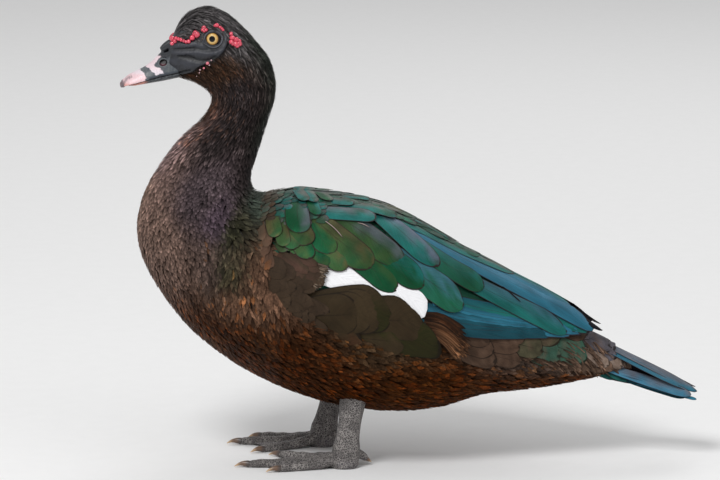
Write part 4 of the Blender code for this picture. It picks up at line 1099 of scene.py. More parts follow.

# Feathers placed one by one, lowest first: root and tip (x, mm of arc down from the ridge of the
# back), half width, kind, and the tints of the vane's lower and upper side.
# Vanes of the "dark" kind are black strips of painted shadow in the slits between groups of feathers.
WING_LOBES = (
    ((6.0, 121.2), (102.5, 61.1), 7.0, "secondary", DEEP, DEEP),
    ((9.0, 113.6), (119.5, 48.7), 7.5, "secondary", DEEP, DEEP),
    ((12.5, 105.4), (135.0, 36.4), 7.5, "secondary", BLUE, DEEP),
    ((17.5, 96.3), (145.5, 27.0), 7.5, "secondary", BLUE, DEEP),
    ((24.5, 86.6), (151.0, 20.5), 7.5, "secondary", TEAL, DEEP),
    ((-77.5, 103.0), (-13.5, 114.9), 12, "white", WHITE, WHITE),
    ((-49.0, 97.8), (13.5, 106.0), 11, "white", WHITE, WHITE),
    ((93.0, 22.1), (163.0, 14.0), 4.2, "dark", SHADOW_BLACK, SHADOW_BLACK),
    ((24.5, 53.1), (131.5, 40.9), 10.5, "tertial", TEAL, LAGOON),
    ((20.0, 4.5), (136.0, 7.7), 9.0, "tertial", BLUE, TEAL),
    ((11.5, 27.0), (154.5, 17.5), 11.5, "tertial", BLUE, SKY),
    ((67.0, 32.0), (93.0, 42.5), 0.8, "dark", SHADOW_BLACK, SHADOW_BLACK),
    ((-7.5, 74.3), (44.0, 79.0), 17.0, "lobe", JADE, LAGOON),
    ((3.5, 44.2), (62.0, 49.2), 13.5, "lobe", JADE, TEAL),
    ((-51.0, 77.3), (-12.5, 104.1), 12.6, "lobe", EMERALD, GREEN),
    ((-15.5, 32.1), (22.0, 60.1), 15.0, "lobe", TEAL, LILAC),
    ((-39.0, 68.8), (11.0, 85.7), 15.6, "lobe", EMERALD, TEAL),
    ((-51.0, 49.5), (-8.0, 78.6), 15.4, "lobe", GREEN, MAUVE),
    ((-82.5, 64.1), (-53.5, 99.8), 11, "lobe", GREEN, OLIVE),
    ((-79.5, 49.7), (-33.5, 93.1), 14.2, "lobe", GREEN, OLIVE),
    ((-85.0, 82.2), (-68.5, 97.8), 7, "lobe", GREEN, EMERALD),
    ((-80.0, 57.0), (-66.5, 87.3), 10.5, "lobe", EMERALD, GREEN),
    ((-13.0, 22.2), (88.0, 4.5), 8.0, "tertial", TEAL, GREY),
    ((-37.5, 21.7), (36.0, 4.5), 1.0, "dark", SHADOW_BLACK, SHADOW_BLACK),
    ((-22.0, 4.5), (33.5, 4.5), 3.4, "scapular", TEAL, GREY),
    ((-0.5, 4.5), (35.5, 4.5), 1.0, "dark", SHADOW_BLACK, SHADOW_BLACK),
    ((-46.5, 4.5), (2.5, 4.5), 5.5, "scapular", GREY, GREY),
    ((-32.5, 4.5), (-6.0, 4.5), 5.5, "scapular", GREY, OLIVE),
    ((-72.0, 40.8), (-29.0, 37.6), 9.6, "scapular", TEAL, MAUVE),
    ((-60.0, 23.3), (-12.0, 22.2), 7.5, "scapular", TEAL, GREY),
    ((-74.5, 20.3), (-47.5, 23.3), 7.0, "scapular", TEAL, GREY),
    ((-63.0, 4.5), (-34.0, 4.5), 5.4, "scapular", TEAL, GREY),
    ((-79.5, 4.5), (-57.5, 4.5), 4.4, "scapular", GREY, MAUVE),
    ((-92.0, 73.3), (-85.0, 94.2), 8.4, "lobe", GREEN, EMERALD),
    ((-95.0, 58.2), (-86.0, 82.2), 10.8, "lobe", GREEN, OLIVE),
    ((-103.5, 64.1), (-96.0, 85.4), 7.2, "lobe", GREEN, OLIVE),
    ((-107.0, 59.5), (-105.0, 82.2), 6.0, "lobe", GREEN, OLIVE),
    ((-94.5, 36.9), (-92.5, 71.2), 10.6, "scapular", EMERALD, MAUVE),
    ((-76.0, 4.5), (-68.5, 27.1), 5.6, "scapular", EMERALD, GREY),
    ((-82.0, 28.1), (-78.5, 50.8), 5.4, "scapular", EMERALD, TEAL),
    ((-85.5, 4.5), (-81.0, 33.5), 5.0, "scapular", TEAL, GREY),
    ((-94.0, 4.5), (-88.5, 33.0), 5.4, "scapular", TEAL, GREY),
    ((-115.5, 51.7), (-112.0, 72.2), 6.4, "scapular", OLIVE, GREEN),
    ((-79.0, 49.1), (-56.5, 72.6), 0.6, "shaft", SHAFT, SHAFT),
    ((-46.0, 49.5), (-33.5, 56.3), 0.6, "shaft", SHAFT, SHAFT),
)
# The dark flank feathers that lie under the side of the breast and over the wing's lower edge.
FLANK_BROWN, MOSS, FLUFF = (0.034, 0.023, 0.011), (0.018, 0.018, 0.005), (0.056, 0.026, 0.012)
FLANK_LOBES = (
    ((-67.5, 170.2), (-5.5, 166.9), 10, "fluff", FLUFF, FLANK_BROWN),
    ((-42.5, 156.8), (-7.5, 147.8), 13, "flank", FLANK_BROWN, MOSS),
    ((-32.5, 156.3), (22.5, 126.8), 15.5, "flank", MOSS, MOSS),
    ((-46.5, 142.5), (8.5, 119.7), 19, "flank", FLANK_BROWN, FLANK_BROWN),
    ((-92.5, 163.7), (-41.0, 160.9), 15, "flank", FLUFF, FLANK_BROWN),
    ((-67.5, 135.3), (-17.5, 124.1), 20, "flank", MOSS, FLANK_BROWN),
    ((-64.0, 137.4), (-25.0, 128.2), 19, "flank", FLANK_BROWN, FLANK_BROWN),
    ((-69.0, 138.9), (-33.5, 131.7), 18, "flank", FLANK_BROWN, FLANK_BROWN),
    ((-78.0, 141.0), (-43.0, 134.8), 18, "flank", FLANK_BROWN, FLANK_BROWN),
)
COPPER, FLECK, DUSK = (0.100, 0.054, 0.035), (0.150, 0.060, 0.024), (0.040, 0.026, 0.016)
DUSK_ROSE, FRONT_OLIVE, FRONT_GREY = (0.070, 0.036, 0.026), (0.066, 0.052, 0.034), (0.085, 0.092, 0.076)
BACK_GREEN, BACK_GREY = (0.030, 0.072, 0.052), (0.078, 0.100, 0.086)
TUFT_COPPER, TUFT_RUST, TUFT_GREY = (0.180, 0.082, 0.038), (0.036, 0.013, 0.005), (0.135, 0.100, 0.072)
# The sheet under the feathers: x, and the arcs between which it lies.
WING_SHEET = (
    (-150, 30, 68), (-143, 20, 97), (-132, 14, 114), (-110, 8, 120), (-80, 5, 120), (-50, 4, 118),
    (-20, 4, 112), (5, 4, 105), (30, 4, 90), (55, 4, 72), (80, 4, 58), (110, 4, 44), (130, 6, 32),
    (142, 10, 24),
)
SHEET_STEPS = 60
PARTING, SQUEEZE = 3.0, 4.0  # mm of arc: nearer the ridge than the first, vanes are squeezed


def wing_point(x, arc, side, lift):
    """A point of the folded wing: x, mm of arc down from the ridge of the back, mm outwards."""
    x = np.asarray(x, float)
    stations = [row[0] for row in WING_SLICES]
    at = np.interp(x, stations, range(len(stations)))
    _, top, half, middle = np.moveaxis(smooth(WING_SLICES, at), -1, 0)
    deep = top - middle
    angle = np.asarray(arc, float) / ((deep + half) / 2)
    beyond = np.maximum(x - stations[-1], 0)
    y = side * (half + lift) * np.sin(angle)
    z = middle + (deep + lift) * np.cos(angle) - 0.55 * beyond
    return join(x, y, z)


def vane_steps(rows, columns):
    """Shares along and across a vane, closer together near its tip and edges."""
    return 1 - (1 - np.linspace(0, 1, rows)) ** 1.6, np.sin(np.linspace(-1, 1, columns) * math.pi / 2)


def blunt(v, length, half, roundness, root=0.55):
    """The width of vanes, whose ends are round over some times their half width."""
    rise = root + (1 - root) * np.sin(np.minimum(1, v / 0.6) * math.pi / 2)
    left = np.clip((1 - v)[None, :] * length[:, None] / (roundness * half[:, None]), 0, 1)
    return half[:, None] * rise[None, :] * (np.sqrt(1 - (1 - left) ** 2) + 0.008)


def rim_depth(width, half, length, v, c):
    """How far in from its outline each point of a vane is, where about 1 is the rim's depth."""
    in_from_side = width[..., None] * (1 - np.abs(c))
    in_from_tip = ((1 - v)[None, :] * length[:, None])[..., None]
    return np.minimum(in_from_side, in_from_tip) / np.clip(half / 10, 0.35, 1)[:, None, None]


def tuck(arc):
    """How far the lowest feathers on the wing are drawn in towards the body, in mm."""
    return 5.2 * ramp(128, 172, arc)


def lie_on_wing(side, root, tip, half, lifts, steps, shape, seed, ragged):
    """Vanes over the wing's sheet, from arrays of roots and tips in x and arc."""
    draw = np.random.default_rng(seed)
    v, c = steps
    roundness, root_share, sway = shape
    run = tip - root
    length = np.linalg.norm(run, axis=-1)
    ahead_x, ahead_arc = (run / length[:, None]).T[:, :, None, None]
    width = blunt(v, length, half, roundness, root_share)
    bend = (sway * length)[:, None] * np.sin(v * math.pi)[None, :]
    off = width[..., None] * c + bend[..., None]
    torn = draw.uniform(-1, 1, (len(root), 1, len(c))) * ragged * (v ** 3)[None, :, None]
    far = (v[None, :, None] + torn) * length[:, None, None]
    x = root[:, 0][:, None, None] + ahead_x * far - ahead_arc * off
    arc = root[:, 1][:, None, None] + ahead_arc * far + ahead_x * off
    squeezed = PARTING - SQUEEZE + SQUEEZE * np.exp((arc - PARTING) / SQUEEZE)
    arc = np.where(arc < PARTING, squeezed, arc)
    lift = lifts[:, 0][:, None] + (lifts[:, 1] - lifts[:, 0])[:, None] * v ** 0.7
    crown = 0.045 * width[..., None] * (1 - c ** 2) + 0.2 * np.exp(-(c / 0.07) ** 2) * (1 - v)[:, None]
    curl = -0.5 * ramp(0.86, 1.0, v)[None, :, None] * (half[:, None, None] / 15)
    points = wing_point(x, arc, side, lift[..., None] + crown + curl - tuck(arc))
    return points, x, arc, rim_depth(width, half, length, v, c) + 3 * ramp(PARTING, 1.6, arc)


def vane_finish(name, rim_colour, rim_share, barb_colour, barb_share, metal, rough):
    """Glossy vane: barbs slanting off a shaft, with a thin edge of another colour."""
    p, finish = start_finish(name)
    across, along = split_vane(p)
    edge = (across - 0.5).apart() * 2
    slant = along * 7 - edge * 2.5
    barb = p.noise(slant + across * 0.8, 9, 3, 0.65, "1D")
    fine = p.noise(slant, 60, 1, 0.5, "1D")
    tint = p.stored("tint")
    rim = p.stored("rim", 2)
    level = barb.rise(0.25, 0.75, 0.66, 1.26) * fine.rise(0.2, 0.8, 0.74, 1.2)
    colour = tint.times(level)
    colour = fine.rise(0.58, 0.8, 0.0, barb_share).tint(colour, barb_colour)
    shaft = edge.rise(0.0, 0.045, 1.0, 0.0) * along.rise(0.5, 0.95, 0.6, 0.1)
    colour = rim.rise(0.35, 1.15, rim_share, 0.0).tint(colour, rim_colour)
    colour = shaft.tint(colour, rim_colour)
    return finish(Base_Color=colour, Metallic=metal, Specular_IOR_Level=0.08,
                  Roughness=barb.rise(0.2, 0.8, rough, rough + 0.16),
                  Normal=p.bump(barb * 0.6 + fine * 0.4, 0.4, 0.0003))


green_vanes = vane_finish("wing_vanes", WING_EDGE, 0.92, BARB_PINK, 0.35, 0.4, 0.40)
white_vanes = vane_finish("white_vanes", WHITE_EDGE, 0.3, BARB_WHITE, 0.2, 0.0, 0.6)
side_vanes = vane_finish("side_vanes", SIDE_EDGE, 0.8, BARB_COPPER, 0.45, 0.0, 0.5)


def spread_patches(count):
    """Room for each large vane in a flat square, in rows."""
    rows = int(math.ceil(math.sqrt(count)))
    spots = [((k % rows + 0.5) / rows, (k // rows + 0.5) / rows) for k in range(count)]
    return np.array(spots), 0.92 / rows


def grid_on_wing(x_range, arc_range, apart, draw):
    """Staggered, slightly uneven places over part of a wing."""
    places = []
    for i, x in enumerate(np.arange(*x_range, apart)):
        for arc in np.arange(arc_range[0] + (i % 2) * apart / 2, arc_range[1], apart):
            shift = draw.uniform(-0.22, 0.22, 2) * apart
            places.append((x + shift[0], arc + shift[1]))
    return places


def towards(place, degrees, reach):
    """A place some way from another, at an angle down from the tail's direction."""
    turn = math.radians(degrees)
    return place[0] + reach * math.cos(turn), max(1.5, place[1] + reach * math.sin(turn))


def front_feathers(draw):
    """Small feathers of the shoulder and along the top of the back."""
    made = []
    for x, arc in grid_on_wing((-152, -84), (3, 80), 5.6, draw):
        if arc > 58 + 0.8 * (x + 120) and x < -112 or arc > 76 or (x > -94 and arc > 46):
            continue
        size = 0.82 + 0.38 * ramp(-128, -98, x) * ramp(15, 45, arc)
        heading = 10 + 50 * ramp(12, 60, arc) + draw.uniform(-7, 7)
        tip = towards((x, arc), heading, 15.5 * size * draw.uniform(0.9, 1.1))
        olive = ramp(-112, -128, x) + 0.3 * draw.uniform(-1, 1)
        deep = ramp(34, 12, arc)
        low = blend(blend(GREEN, TEAL, ramp(50, 30, arc)), BACK_GREEN, deep)
        # The grey and mauve upper tints are partly the feathers' own colour and partly a painted sheen.
        high = blend(blend(FRONT_GREY, MAUVE, draw.uniform(0, 0.7)), BACK_GREY, deep)
        low, high = blend(low, FRONT_OLIVE, olive), blend(high, FRONT_OLIVE, olive)
        made.append(((x, arc), tip, 5.4 * size * draw.uniform(0.9, 1.1), "front", low, high))
    for x, arc in grid_on_wing((-96, 40), (3, 26), 6.5, draw):
        if arc < 26 - 0.12 * (x + 92):
            heading = 4 - 0.08 * (x + 92) + draw.uniform(-4, 4)
            tip = towards((x, arc), heading, 25 * draw.uniform(0.9, 1.1))
            low = JADE if draw.uniform() < 0.5 else BACK_GREEN
            made.append(((x, arc), tip, 6.2 * draw.uniform(0.9, 1.1), "front", low, BACK_GREY))
    return made


def side_feathers(draw):
    """Copper and brown feathers that lap back over the wing from the side of the breast."""
    made = []
    for x, arc in grid_on_wing((-166, -80), (24, 142), 5.0, draw):
        copper = x < -119 and arc > 34 + 0.45 * max(0, x + 150)
        dusk = arc > 84 + 0.10 * (x + 118) and x >= -126
        if not (copper or dusk) or x > -89 or arc > 106 and x > -94 + draw.uniform(-14, 8):
            continue
        if dusk:
            heading = 38 - 0.2 * max(0, arc - 95) + draw.uniform(-8, 8)
            tip = towards((x, arc), heading, 24 * draw.uniform(0.8, 1.15))
            low = blend(DUSK, DUSK_ROSE, ramp(16, 4, math.hypot(x + 104, arc - 88)) * 0.8)
            made.append(((x, arc), tip, 5.0 * draw.uniform(0.8, 1.15), "dusk", low, DUSK))
        else:
            heading = 86 - 0.35 * max(0, arc - 95) + draw.uniform(-8, 8)
            tip = towards((x, arc), heading, 21 * draw.uniform(0.8, 1.15))
            low = blend(COPPER, FLECK, (draw.uniform() < 0.22) * 0.9)
            low = blend(low, FRONT_OLIVE, ramp(66, 44, arc) * 0.8)
            half = 3.9 * draw.uniform(0.8, 1.15)
            made.append(((x, arc), tip, half, "copper", low, blend(low, COPPER, 0.6)))
    for share in np.arange(54) / 53:
        root = blend((-90, 97), (-93, 113), share) + draw.uniform(-2, 2, 2)
        tip = blend((-67.5, 102), (-77, 120), share) + draw.uniform(-2.4, 1.2, 2)
        made.append((root, tip, 0.9 * draw.uniform(0.7, 1.2), "fray", TUFT_GREY, TUFT_GREY))
    for _ in range(120):
        share = draw.uniform(0, 1)
        root = blend((9, 113), (17, 128), share) + draw.uniform(-1.2, 1.2, 2)
        tip = blend((43, 104), (38, 131), share) + (6 * math.sin(share * math.pi), 0)
        tip = tip + draw.uniform(-5, 3, 2)
        colour = blend(TUFT_RUST, TUFT_COPPER, ramp(0.2, 0.95, share + 0.25 * draw.uniform(-1, 1)))
        made.append((root, tip, 0.9 * draw.uniform(0.6, 1.3), "tuft", colour, colour))
    return made


# Shape of each kind: how long its round end is, its width at the root, how far it bends, and
# how far its root is hidden under the feathers above it.
WING_SHAPES = {
    "secondary": (1.6, 0.7, 0.03, 0.0), "white": (0.25, 0.9, 0.0, 0.0), "dark": (5.0, 0.25, 0.0, 0.0),
    "shaft": (14, 0.9, -0.05, 0.0), "tertial": (1.8, 0.8, 0.02, 0.12),
    "scapular": (1.1, 0.85, 0.03, 0.35), "lobe": (1.0, 0.85, 0.05, 0.4),
    "front": (1.0, 0.6, 0.02, 0.0), "copper": (1.4, 0.6, 0.03, 0.0), "dusk": (1.4, 0.6, 0.03, 0.0),
    "fray": (6, 0.5, 0.0, 0.0), "tuft": (5, 0.5, -0.13, 0.0), "flank": (1.0, 0.8, 0.02, 0.35),
    "fluff": (1.2, 0.7, 0.02, 0.0),
}
# For each group: rows and columns of points, lift of roots and tips in mm, how much the lifts
# rise from one feather to the next, and raggedness.
WING_GROUPS = {
    "large": ((15, 9), (-3.0, -1.1), (0.03, 0.085), 0.012),
    "flank": ((15, 9), (-3.2, 0.2), (0.1, 0.2), 0.03),
    "front": ((8, 7), (-2.4, 0.3), (0.0, 0.0), 0.012),
    "breast": ((8, 5), (-1.4, 1.3), (0.0, 0.0), 0.06),
}


def vane_tints(kind, low, high, x, arc, v, c, draw):
    """Colours over vanes: one tint on the lower side, another above that is partly a painted sheen, and
    blotches.
    """
    shape = x.shape
    v, c = np.broadcast_to(v, shape), np.broadcast_to(c, shape)
    spots = np.stack([x, arc, 8 * v], axis=-1)
    rough = {"white": 0.0, "front": 0.2, "copper": 0.2, "tuft": 0.35, "fray": 0.35}.get(kind, 0.08)
    # The tint above is partly the feather's own colour and partly a painted sheen, lighter on many
    # feathers.
    above = ramp(0.35, -0.85, c + 0.3 * ripple(spots, 16, 71))
    colour = blend(low[:, None, None, :], high[:, None, None, :], above)
    if kind in ("lobe", "scapular"):
        blotch = ramp(0.2, 0.9, ripple(spots, 13, 72) + 0.4)
        colour = blend(colour, EMERALD, ramp(0.55, 0.9, v) * blotch * 0.6)
    # Painted shade at the roots of tufts and frayed strands.
    if kind in ("tuft", "fray"):
        colour = colour * (0.35 + 0.65 * ramp(0.1, 0.7, v))[..., None]
    # Copper and fluff feathers: painted shade at the root and a painted glint near the tip.
    if kind in ("copper", "fluff"):
        colour = colour * (0.7 + 0.3 * ramp(0.2, 0.7, v) + 0.2 * ramp(0.75, 0.95, v))[..., None]
    own = np.exp(draw.normal(0, rough, (shape[0], 1, 1)))
    clouds = 0.14 * ripple(spots, 18, 73) + 0.08 * ripple(spots, 5, 74)
    return colour * (own * (1 + (rough > 0) * clouds))[..., None]


def make_wing_sheet(side, word):
    """A thin curved sheet that the feathers lie on."""
    x, top, low = smooth(WING_SHEET, np.linspace(0, len(WING_SHEET) - 1, SHEET_STEPS)).T
    arc = top[:, None] + (low - top)[:, None] * np.linspace(0, 1, SHEET_STEPS // 2)
    lift = -3.6 - 0.6 * np.abs(np.linspace(-1, 1, SHEET_STEPS // 2)) ** 4
    upper, lower = (wing_point(x[:, None], arc, side, lift - deep + 0 * arc) for deep in (0, 1.2))
    points, faces = closed_rings(np.concatenate([upper, lower[:, ::-1]], axis=1), side == RIGHT)
    sheet = mesh_piece(f"wing_{word}_sheet", points, faces, green_vanes, "wing_plumage", 60).data
    # Jade at half brightness: painted shade under the feathers, where the sheet shows between them.
    set_tint(sheet, np.tile(np.array(JADE) * 0.5, (len(points), 1)))
    set_share(sheet, "rim", np.full(len(points), 5.0))
    share = np.linspace(0, 1, SHEET_STEPS)
    flat = np.stack(np.meshgrid(share, share, indexing="ij"), -1).reshape(-1, 2)
    for layer in ("vane", "OFBake"):
        set_uv(sheet, layer, flat[corners_of(sheet)])


def make_wing_feathers(side, word):
    """All the feathers of one folded wing, from the innermost to the outermost."""
    draw = np.random.default_rng(51 if side == RIGHT else 50)
    groups = {"large": WING_LOBES, "flank": FLANK_LOBES, "front": front_feathers(draw),
              "breast": side_feathers(draw)}
    for number, (group, feathers) in enumerate(groups.items()):
        (rows, columns), lifts, steeper, ragged = WING_GROUPS[group]
        root, tip, low, high = (np.array([f[i] for f in feathers], float) for i in (0, 1, 4, 5))
        half, kinds = np.array([f[2] for f in feathers], float), np.array([f[3] for f in feathers])
        root = root - (tip - root) * np.array([WING_SHAPES[kind][3] for kind in kinds])[:, None]
        order = np.arange(len(feathers))[:, None]
        rise = np.array(lifts) + order * np.array(steeper)
        if group in ("front", "breast"):
            rise = rise + draw.uniform(-0.3, 0.3, (len(feathers), 1))
        rise[kinds == "tuft"] += (-1.5, 2.4)
        rise[kinds == "dark"] += (0.2, 0.15)
        rise[kinds == "secondary"] += (0.0, -0.9)
        rise[kinds == "tertial", 1] = np.minimum(rise[kinds == "tertial", 1], -0.2)
        spots, size = spread_patches(len(feathers))
        v, c = steps = vane_steps(rows, columns)
        brown = group in ("breast", "flank")
        for kind in dict.fromkeys(kinds):
            pick = kinds == kind
            made, x, arc, rims = lie_on_wing(side, root[pick], tip[pick], half[pick], rise[pick], steps,
                                             WING_SHAPES[kind][:3], 60 + number, ragged)
            tints = vane_tints(kind, low[pick], high[pick], x, arc, v[None, :, None],
                               c[None, None, :], draw)
            paint = white_vanes if kind == "white" else side_vanes if brown else green_vanes
            rims = rims * (3 if kind in ("dusk", "copper", "tuft") else 1)
            piece = feather_piece(f"wing_{word}_{kind}", made, tints, spots[pick], paint,
                                  "body_plumage" if brown else "wing_plumage", size, steps, rims)
            if kind == "lobe":
                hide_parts(f"wing_{word}")


for side, word in SIDES:
    make_wing_sheet(side, word)
    make_wing_feathers(side, word)


# Feathers over the side of the rump and the root of the tail hide where both join the trunk:
# soft grey-brown in front, dull green scales, then loose rose and violet ones over the tail.
RUMP_GREEN, RUMP_ROSE, RUMP_VIOLET = (0.032, 0.080, 0.056), (0.240, 0.180, 0.145), (0.105, 0.098, 0.115)
RUMP_DUSK, RUMP_OLIVE, RUMP_RUST = (0.060, 0.035, 0.023), (0.056, 0.052, 0.030), (0.130, 0.080, 0.055)
# In side view, lowest first: root (x, z), tip (x, z), half width in mm, tint.
RUMP_LOBES = (
    ((118, 127), (158, 110), 9, RUMP_VIOLET), ((134, 117), (170, 101), 8, RUMP_VIOLET),
    ((142, 112), (174, 96), 7, RUMP_VIOLET),
    ((152.5, 101.1), (180, 82.4), 5.0, RUMP_ROSE), ((146, 106), (174, 89), 4.5, RUMP_VIOLET),
    ((150, 97), (172, 80), 4.0, RUMP_RUST), ((146, 100), (168, 84), 4.5, RUMP_ROSE),
    ((145, 94), (163, 78.5), 4.5, RUMP_RUST), ((141.8, 103.7), (160.0, 84), 5, RUMP_ROSE),
    ((138, 99), (153, 81), 5, RUMP_RUST),
    ((134, 114), (170.3, 97), 6.5, RUMP_VIOLET), ((112, 124), (150, 108), 7, RUMP_DUSK),
    ((115.3, 106.3), (149.0, 92.0), 12.5, RUMP_GREEN), ((94.9, 105.4), (126.0, 95.2), 12, RUMP_GREEN),
    ((90, 118), (126, 109), 8, RUMP_OLIVE), ((82.6, 110.5), (111.5, 101.0), 10, RUMP_OLIVE),
    ((57.0, 103.6), (93.0, 93.1), 8, RUMP_DUSK), ((60, 121), (96, 112), 7, RUMP_DUSK),
    ((56.1, 114.3), (91, 106.2), 8.5, RUMP_DUSK), ((36.4, 105.8), (71.4, 94.8), 8, RUMP_DUSK),
    ((35.2, 114.9), (69.6, 104.0), 8.5, RUMP_DUSK), ((30, 124), (66, 113), 8, RUMP_DUSK),
)


def make_rump():
    """Broad feathers laid along the lines of the table above, on each side."""
    steps = v, c = vane_steps(12, 9)
    root, tip, tone = (np.array([f[i] for f in RUMP_LOBES], float)[:, None, None, :] for i in (0, 1, 3))
    half = np.array([f[2] for f in RUMP_LOBES], float)
    run = tip - root
    length = np.linalg.norm(run, axis=-1)
    ahead = run / length[..., None]
    width = blunt(v, length[:, 0, 0], half, 1.2)
    order = np.arange(len(RUMP_LOBES))[:, None, None]
    for side, word in SIDES:
        draw = np.random.default_rng(75)
        torn = draw.uniform(-1, 1, (len(half), 1, len(c))) * 0.05 * (v ** 3)[None, :, None]
        far, off = (v[None, :, None] + torn) * length, width[..., None] * c
        x = root[..., 0] + ahead[..., 0] * far + ahead[..., 1] * off
        z = root[..., 1] + ahead[..., 1] * far - ahead[..., 0] * off
        crown = 0.03 * width[..., None] * (1 - c ** 2)
        lift = -0.6 + (1.7 + 0.06 * order) * (v ** 0.7)[None, :, None] + crown
        points = body_point(*on_side(x, z, side), lift)
        own = np.exp(draw.normal(0, 0.12, (len(half), 1, 1, 1)))
        tints = tone * (1 + 0.25 * ripple(points, 6, 76))[..., None] * own
        tints = blend(tints, RUMP_RUST, ramp(0.0, 0.9, ripple(points, 12, 77)) * 0.35)
        spots, size = spread_patches(len(half))
        feather_piece(f"rump_{word}", points, tints, spots, side_vanes, "body_plumage", size, steps,
                      rim_depth(width, half, length[:, 0, 0], v, c) * 1.2)


make_rump()


def make_rump_strands():
    """Loose hair-like strands: a fringe below the rump's side, and more where the tail comes out."""
    count, (rows, columns) = 110, (7, 3)
    steps = v, c = vane_steps(rows, columns)
    for side, word in SIDES:
        draw = np.random.default_rng(78)
        share = draw.uniform(0, 1, count) ** 0.7
        edge = draw.uniform(0, 1, count) > ramp(0.5, 0.8, share)
        x = 84 + 74 * share + draw.uniform(-3, 3, count)
        below = np.where(edge, draw.uniform(16, 20, count), draw.uniform(0, 19, count))
        z = 115 - 0.16 * (x - 84) - below
        way = np.radians(14 + 30 * share + draw.normal(0, 7, count))
        length = draw.uniform(9, 17, count) * (0.7 + 0.5 * share)
        half = draw.uniform(0.3, 0.6, count)
        width = blunt(v, length, half, 5)
        bend = (0.10 * length)[:, None, None] * (v ** 2)[None, :, None]
        far, off = (v[None, :] * length[:, None])[..., None], width[..., None] * c + bend
        ahead_x, ahead_z = np.cos(way)[:, None, None], -np.sin(way)[:, None, None]
        lift = 1.0 + 1.3 * (v ** 0.7)[None, :, None] + draw.uniform(0, 0.5, count)[:, None, None]
        x = x[:, None, None] + ahead_x * far + ahead_z * off
        z = z[:, None, None] + ahead_z * far - ahead_x * off
        points = body_point(*on_side(x, z, side), lift)
        tones = blend(RUMP_DUSK, RUMP_RUST, ramp(0.2, 0.9, share + 0.3 * draw.uniform(-1, 1, count)))
        tones = tones * np.exp(draw.normal(-0.1, 0.4, (count, 1)))
        # Painted shade at the strands' roots and painted glints at their tips.
        tints = shade_vanes(tones, rows, columns, 0.4, np.full(count, 0.4))
        feather_piece(f"rump_strands_{word}", points, tints, spread_patches(count)[0], small_feathers,
                      "body_plumage", steps=steps)


make_rump_strands()


# The folded tail is a low tent of long stiff feathers, blue-green with violet edges: broad
# ones lie flat on top, others stand steeper down each side, and black vanes between them paint the shadow
# of the hollow.
TAIL_VIOLET, TAIL_UNDER, TAIL_TEAL = (0.120, 0.140, 0.175), (0.040, 0.030, 0.020), (0.014, 0.095, 0.085)
# Half the tail: root and tip (x, out, z), half width, roll in degrees, the tints of the lower and
# upper side, and how wide the root is.
TAIL_FEATHERS = (
    ((149.4, 6, 76.0), (196.4, 7, 64.5), 9, 5, TAIL_UNDER, TAIL_UNDER, 0.6),
    ((152, 8, 84), (218, 10, 66), 9, 12, TAIL_UNDER, TAIL_UNDER, 0.5),
    ((163.0, 8, 91.5), (227, 10, 64.5), 4.4, 75, SHADOW_BLACK, SHADOW_BLACK, 0.6),
    ((172.1, 13, 73.9), (234.6, 16, 54.9), 3.6, 62, DEEP, SHADOW_BLACK, 0.5),
    ((192.4, 16, 66.4), (244.0, 19, 53.6), 1.6, 55, BLUE, BLUE, 0.3),
    ((164.2, 15, 81.6), (239.4, 19, 57.4), 5.0, 60, SKY, TAIL_VIOLET, 0.7),
    ((147.0, 9, 107.4), (244.8, 10, 58.6), 11, 15, BLUE, TAIL_VIOLET, 0.6),
    ((146.0, 5, 109.6), (238, 5, 62.6), 9, 8, TAIL_VIOLET, TAIL_VIOLET, 0.6),
    ((154.9, 14, 81.6), (173.8, 14, 70.3), 4.6, 60, TAIL_TEAL, TAIL_TEAL, 0.6),
    ((163.5, 14, 79.9), (184.8, 15, 68.8), 4.2, 60, TAIL_TEAL, TAIL_TEAL, 0.6),
    ((151.4, 14, 98.8), (182.3, 16, 81.0), 4.0, 55, RUMP_VIOLET, RUMP_ROSE, 0.6),
    ((151.4, 15, 93.7), (182.7, 16.5, 73.6), 1.8, 60, RUMP_DUSK, RUMP_ROSE, 0.6),
)


def make_tail():
    """Both halves of the tail in one piece, the right one a little lower than the left."""
    steps = v, c = vane_steps(14, 9)
    points, tints, rims = [], [], []
    for side in (LEFT, RIGHT):
        for k, (root, tip, half, roll, low, high, narrow) in enumerate(TAIL_FEATHERS):
            root, tip = np.array(root) * (1, side, 1), np.array(tip) * (1, side, 1)
            length = np.linalg.norm(tip - root)
            ahead = (tip - root) / length
            out = np.cross(ahead, (0, 0, 1)) * -side
            out = out / np.linalg.norm(out) * (1 if out[1] * side > 0 else -1)
            up = np.cross(out, ahead) * side
            up = up * np.sign(up[2])
            down = math.radians(roll)
            beside = out * math.cos(down) - up * math.sin(down)
            above = up * math.cos(down) + out * math.sin(down)
            length, half = np.array([length]), np.array([float(half)])
            width = blunt(v, length, half, 3.2, narrow)
            shaft = 0.3 * np.exp(-(c / 0.08) ** 2) * (1 - v)[:, None]
            lift = 0.06 * half * (1 - c ** 2) + shaft - 0.3 * (side == RIGHT)
            along = ahead * (v * length)[:, None, None]
            across = beside * (width[0][:, None] * c)[..., None]
            points.append(root + along + across + above * lift[..., None])
            share = ramp(0.6, -0.6, c[None, :] + 0.4 * ripple(points[-1], 12, 80 + k))
            colour = blend(low, high, share * ramp(0.0, 0.3, v)[:, None])
            tints.append(colour * (1 + 0.15 * ripple(points[-1], 10, 90 + k))[..., None])
            rims.append(rim_depth(width, half, length, v, c)[0])
    spots, size = spread_patches(len(points))
    piece = feather_piece("tail_feathers", np.array(points), np.array(tints), spots, green_vanes,
                          "wing_plumage", size, steps, np.array(rims))
    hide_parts("tail")


make_tail()


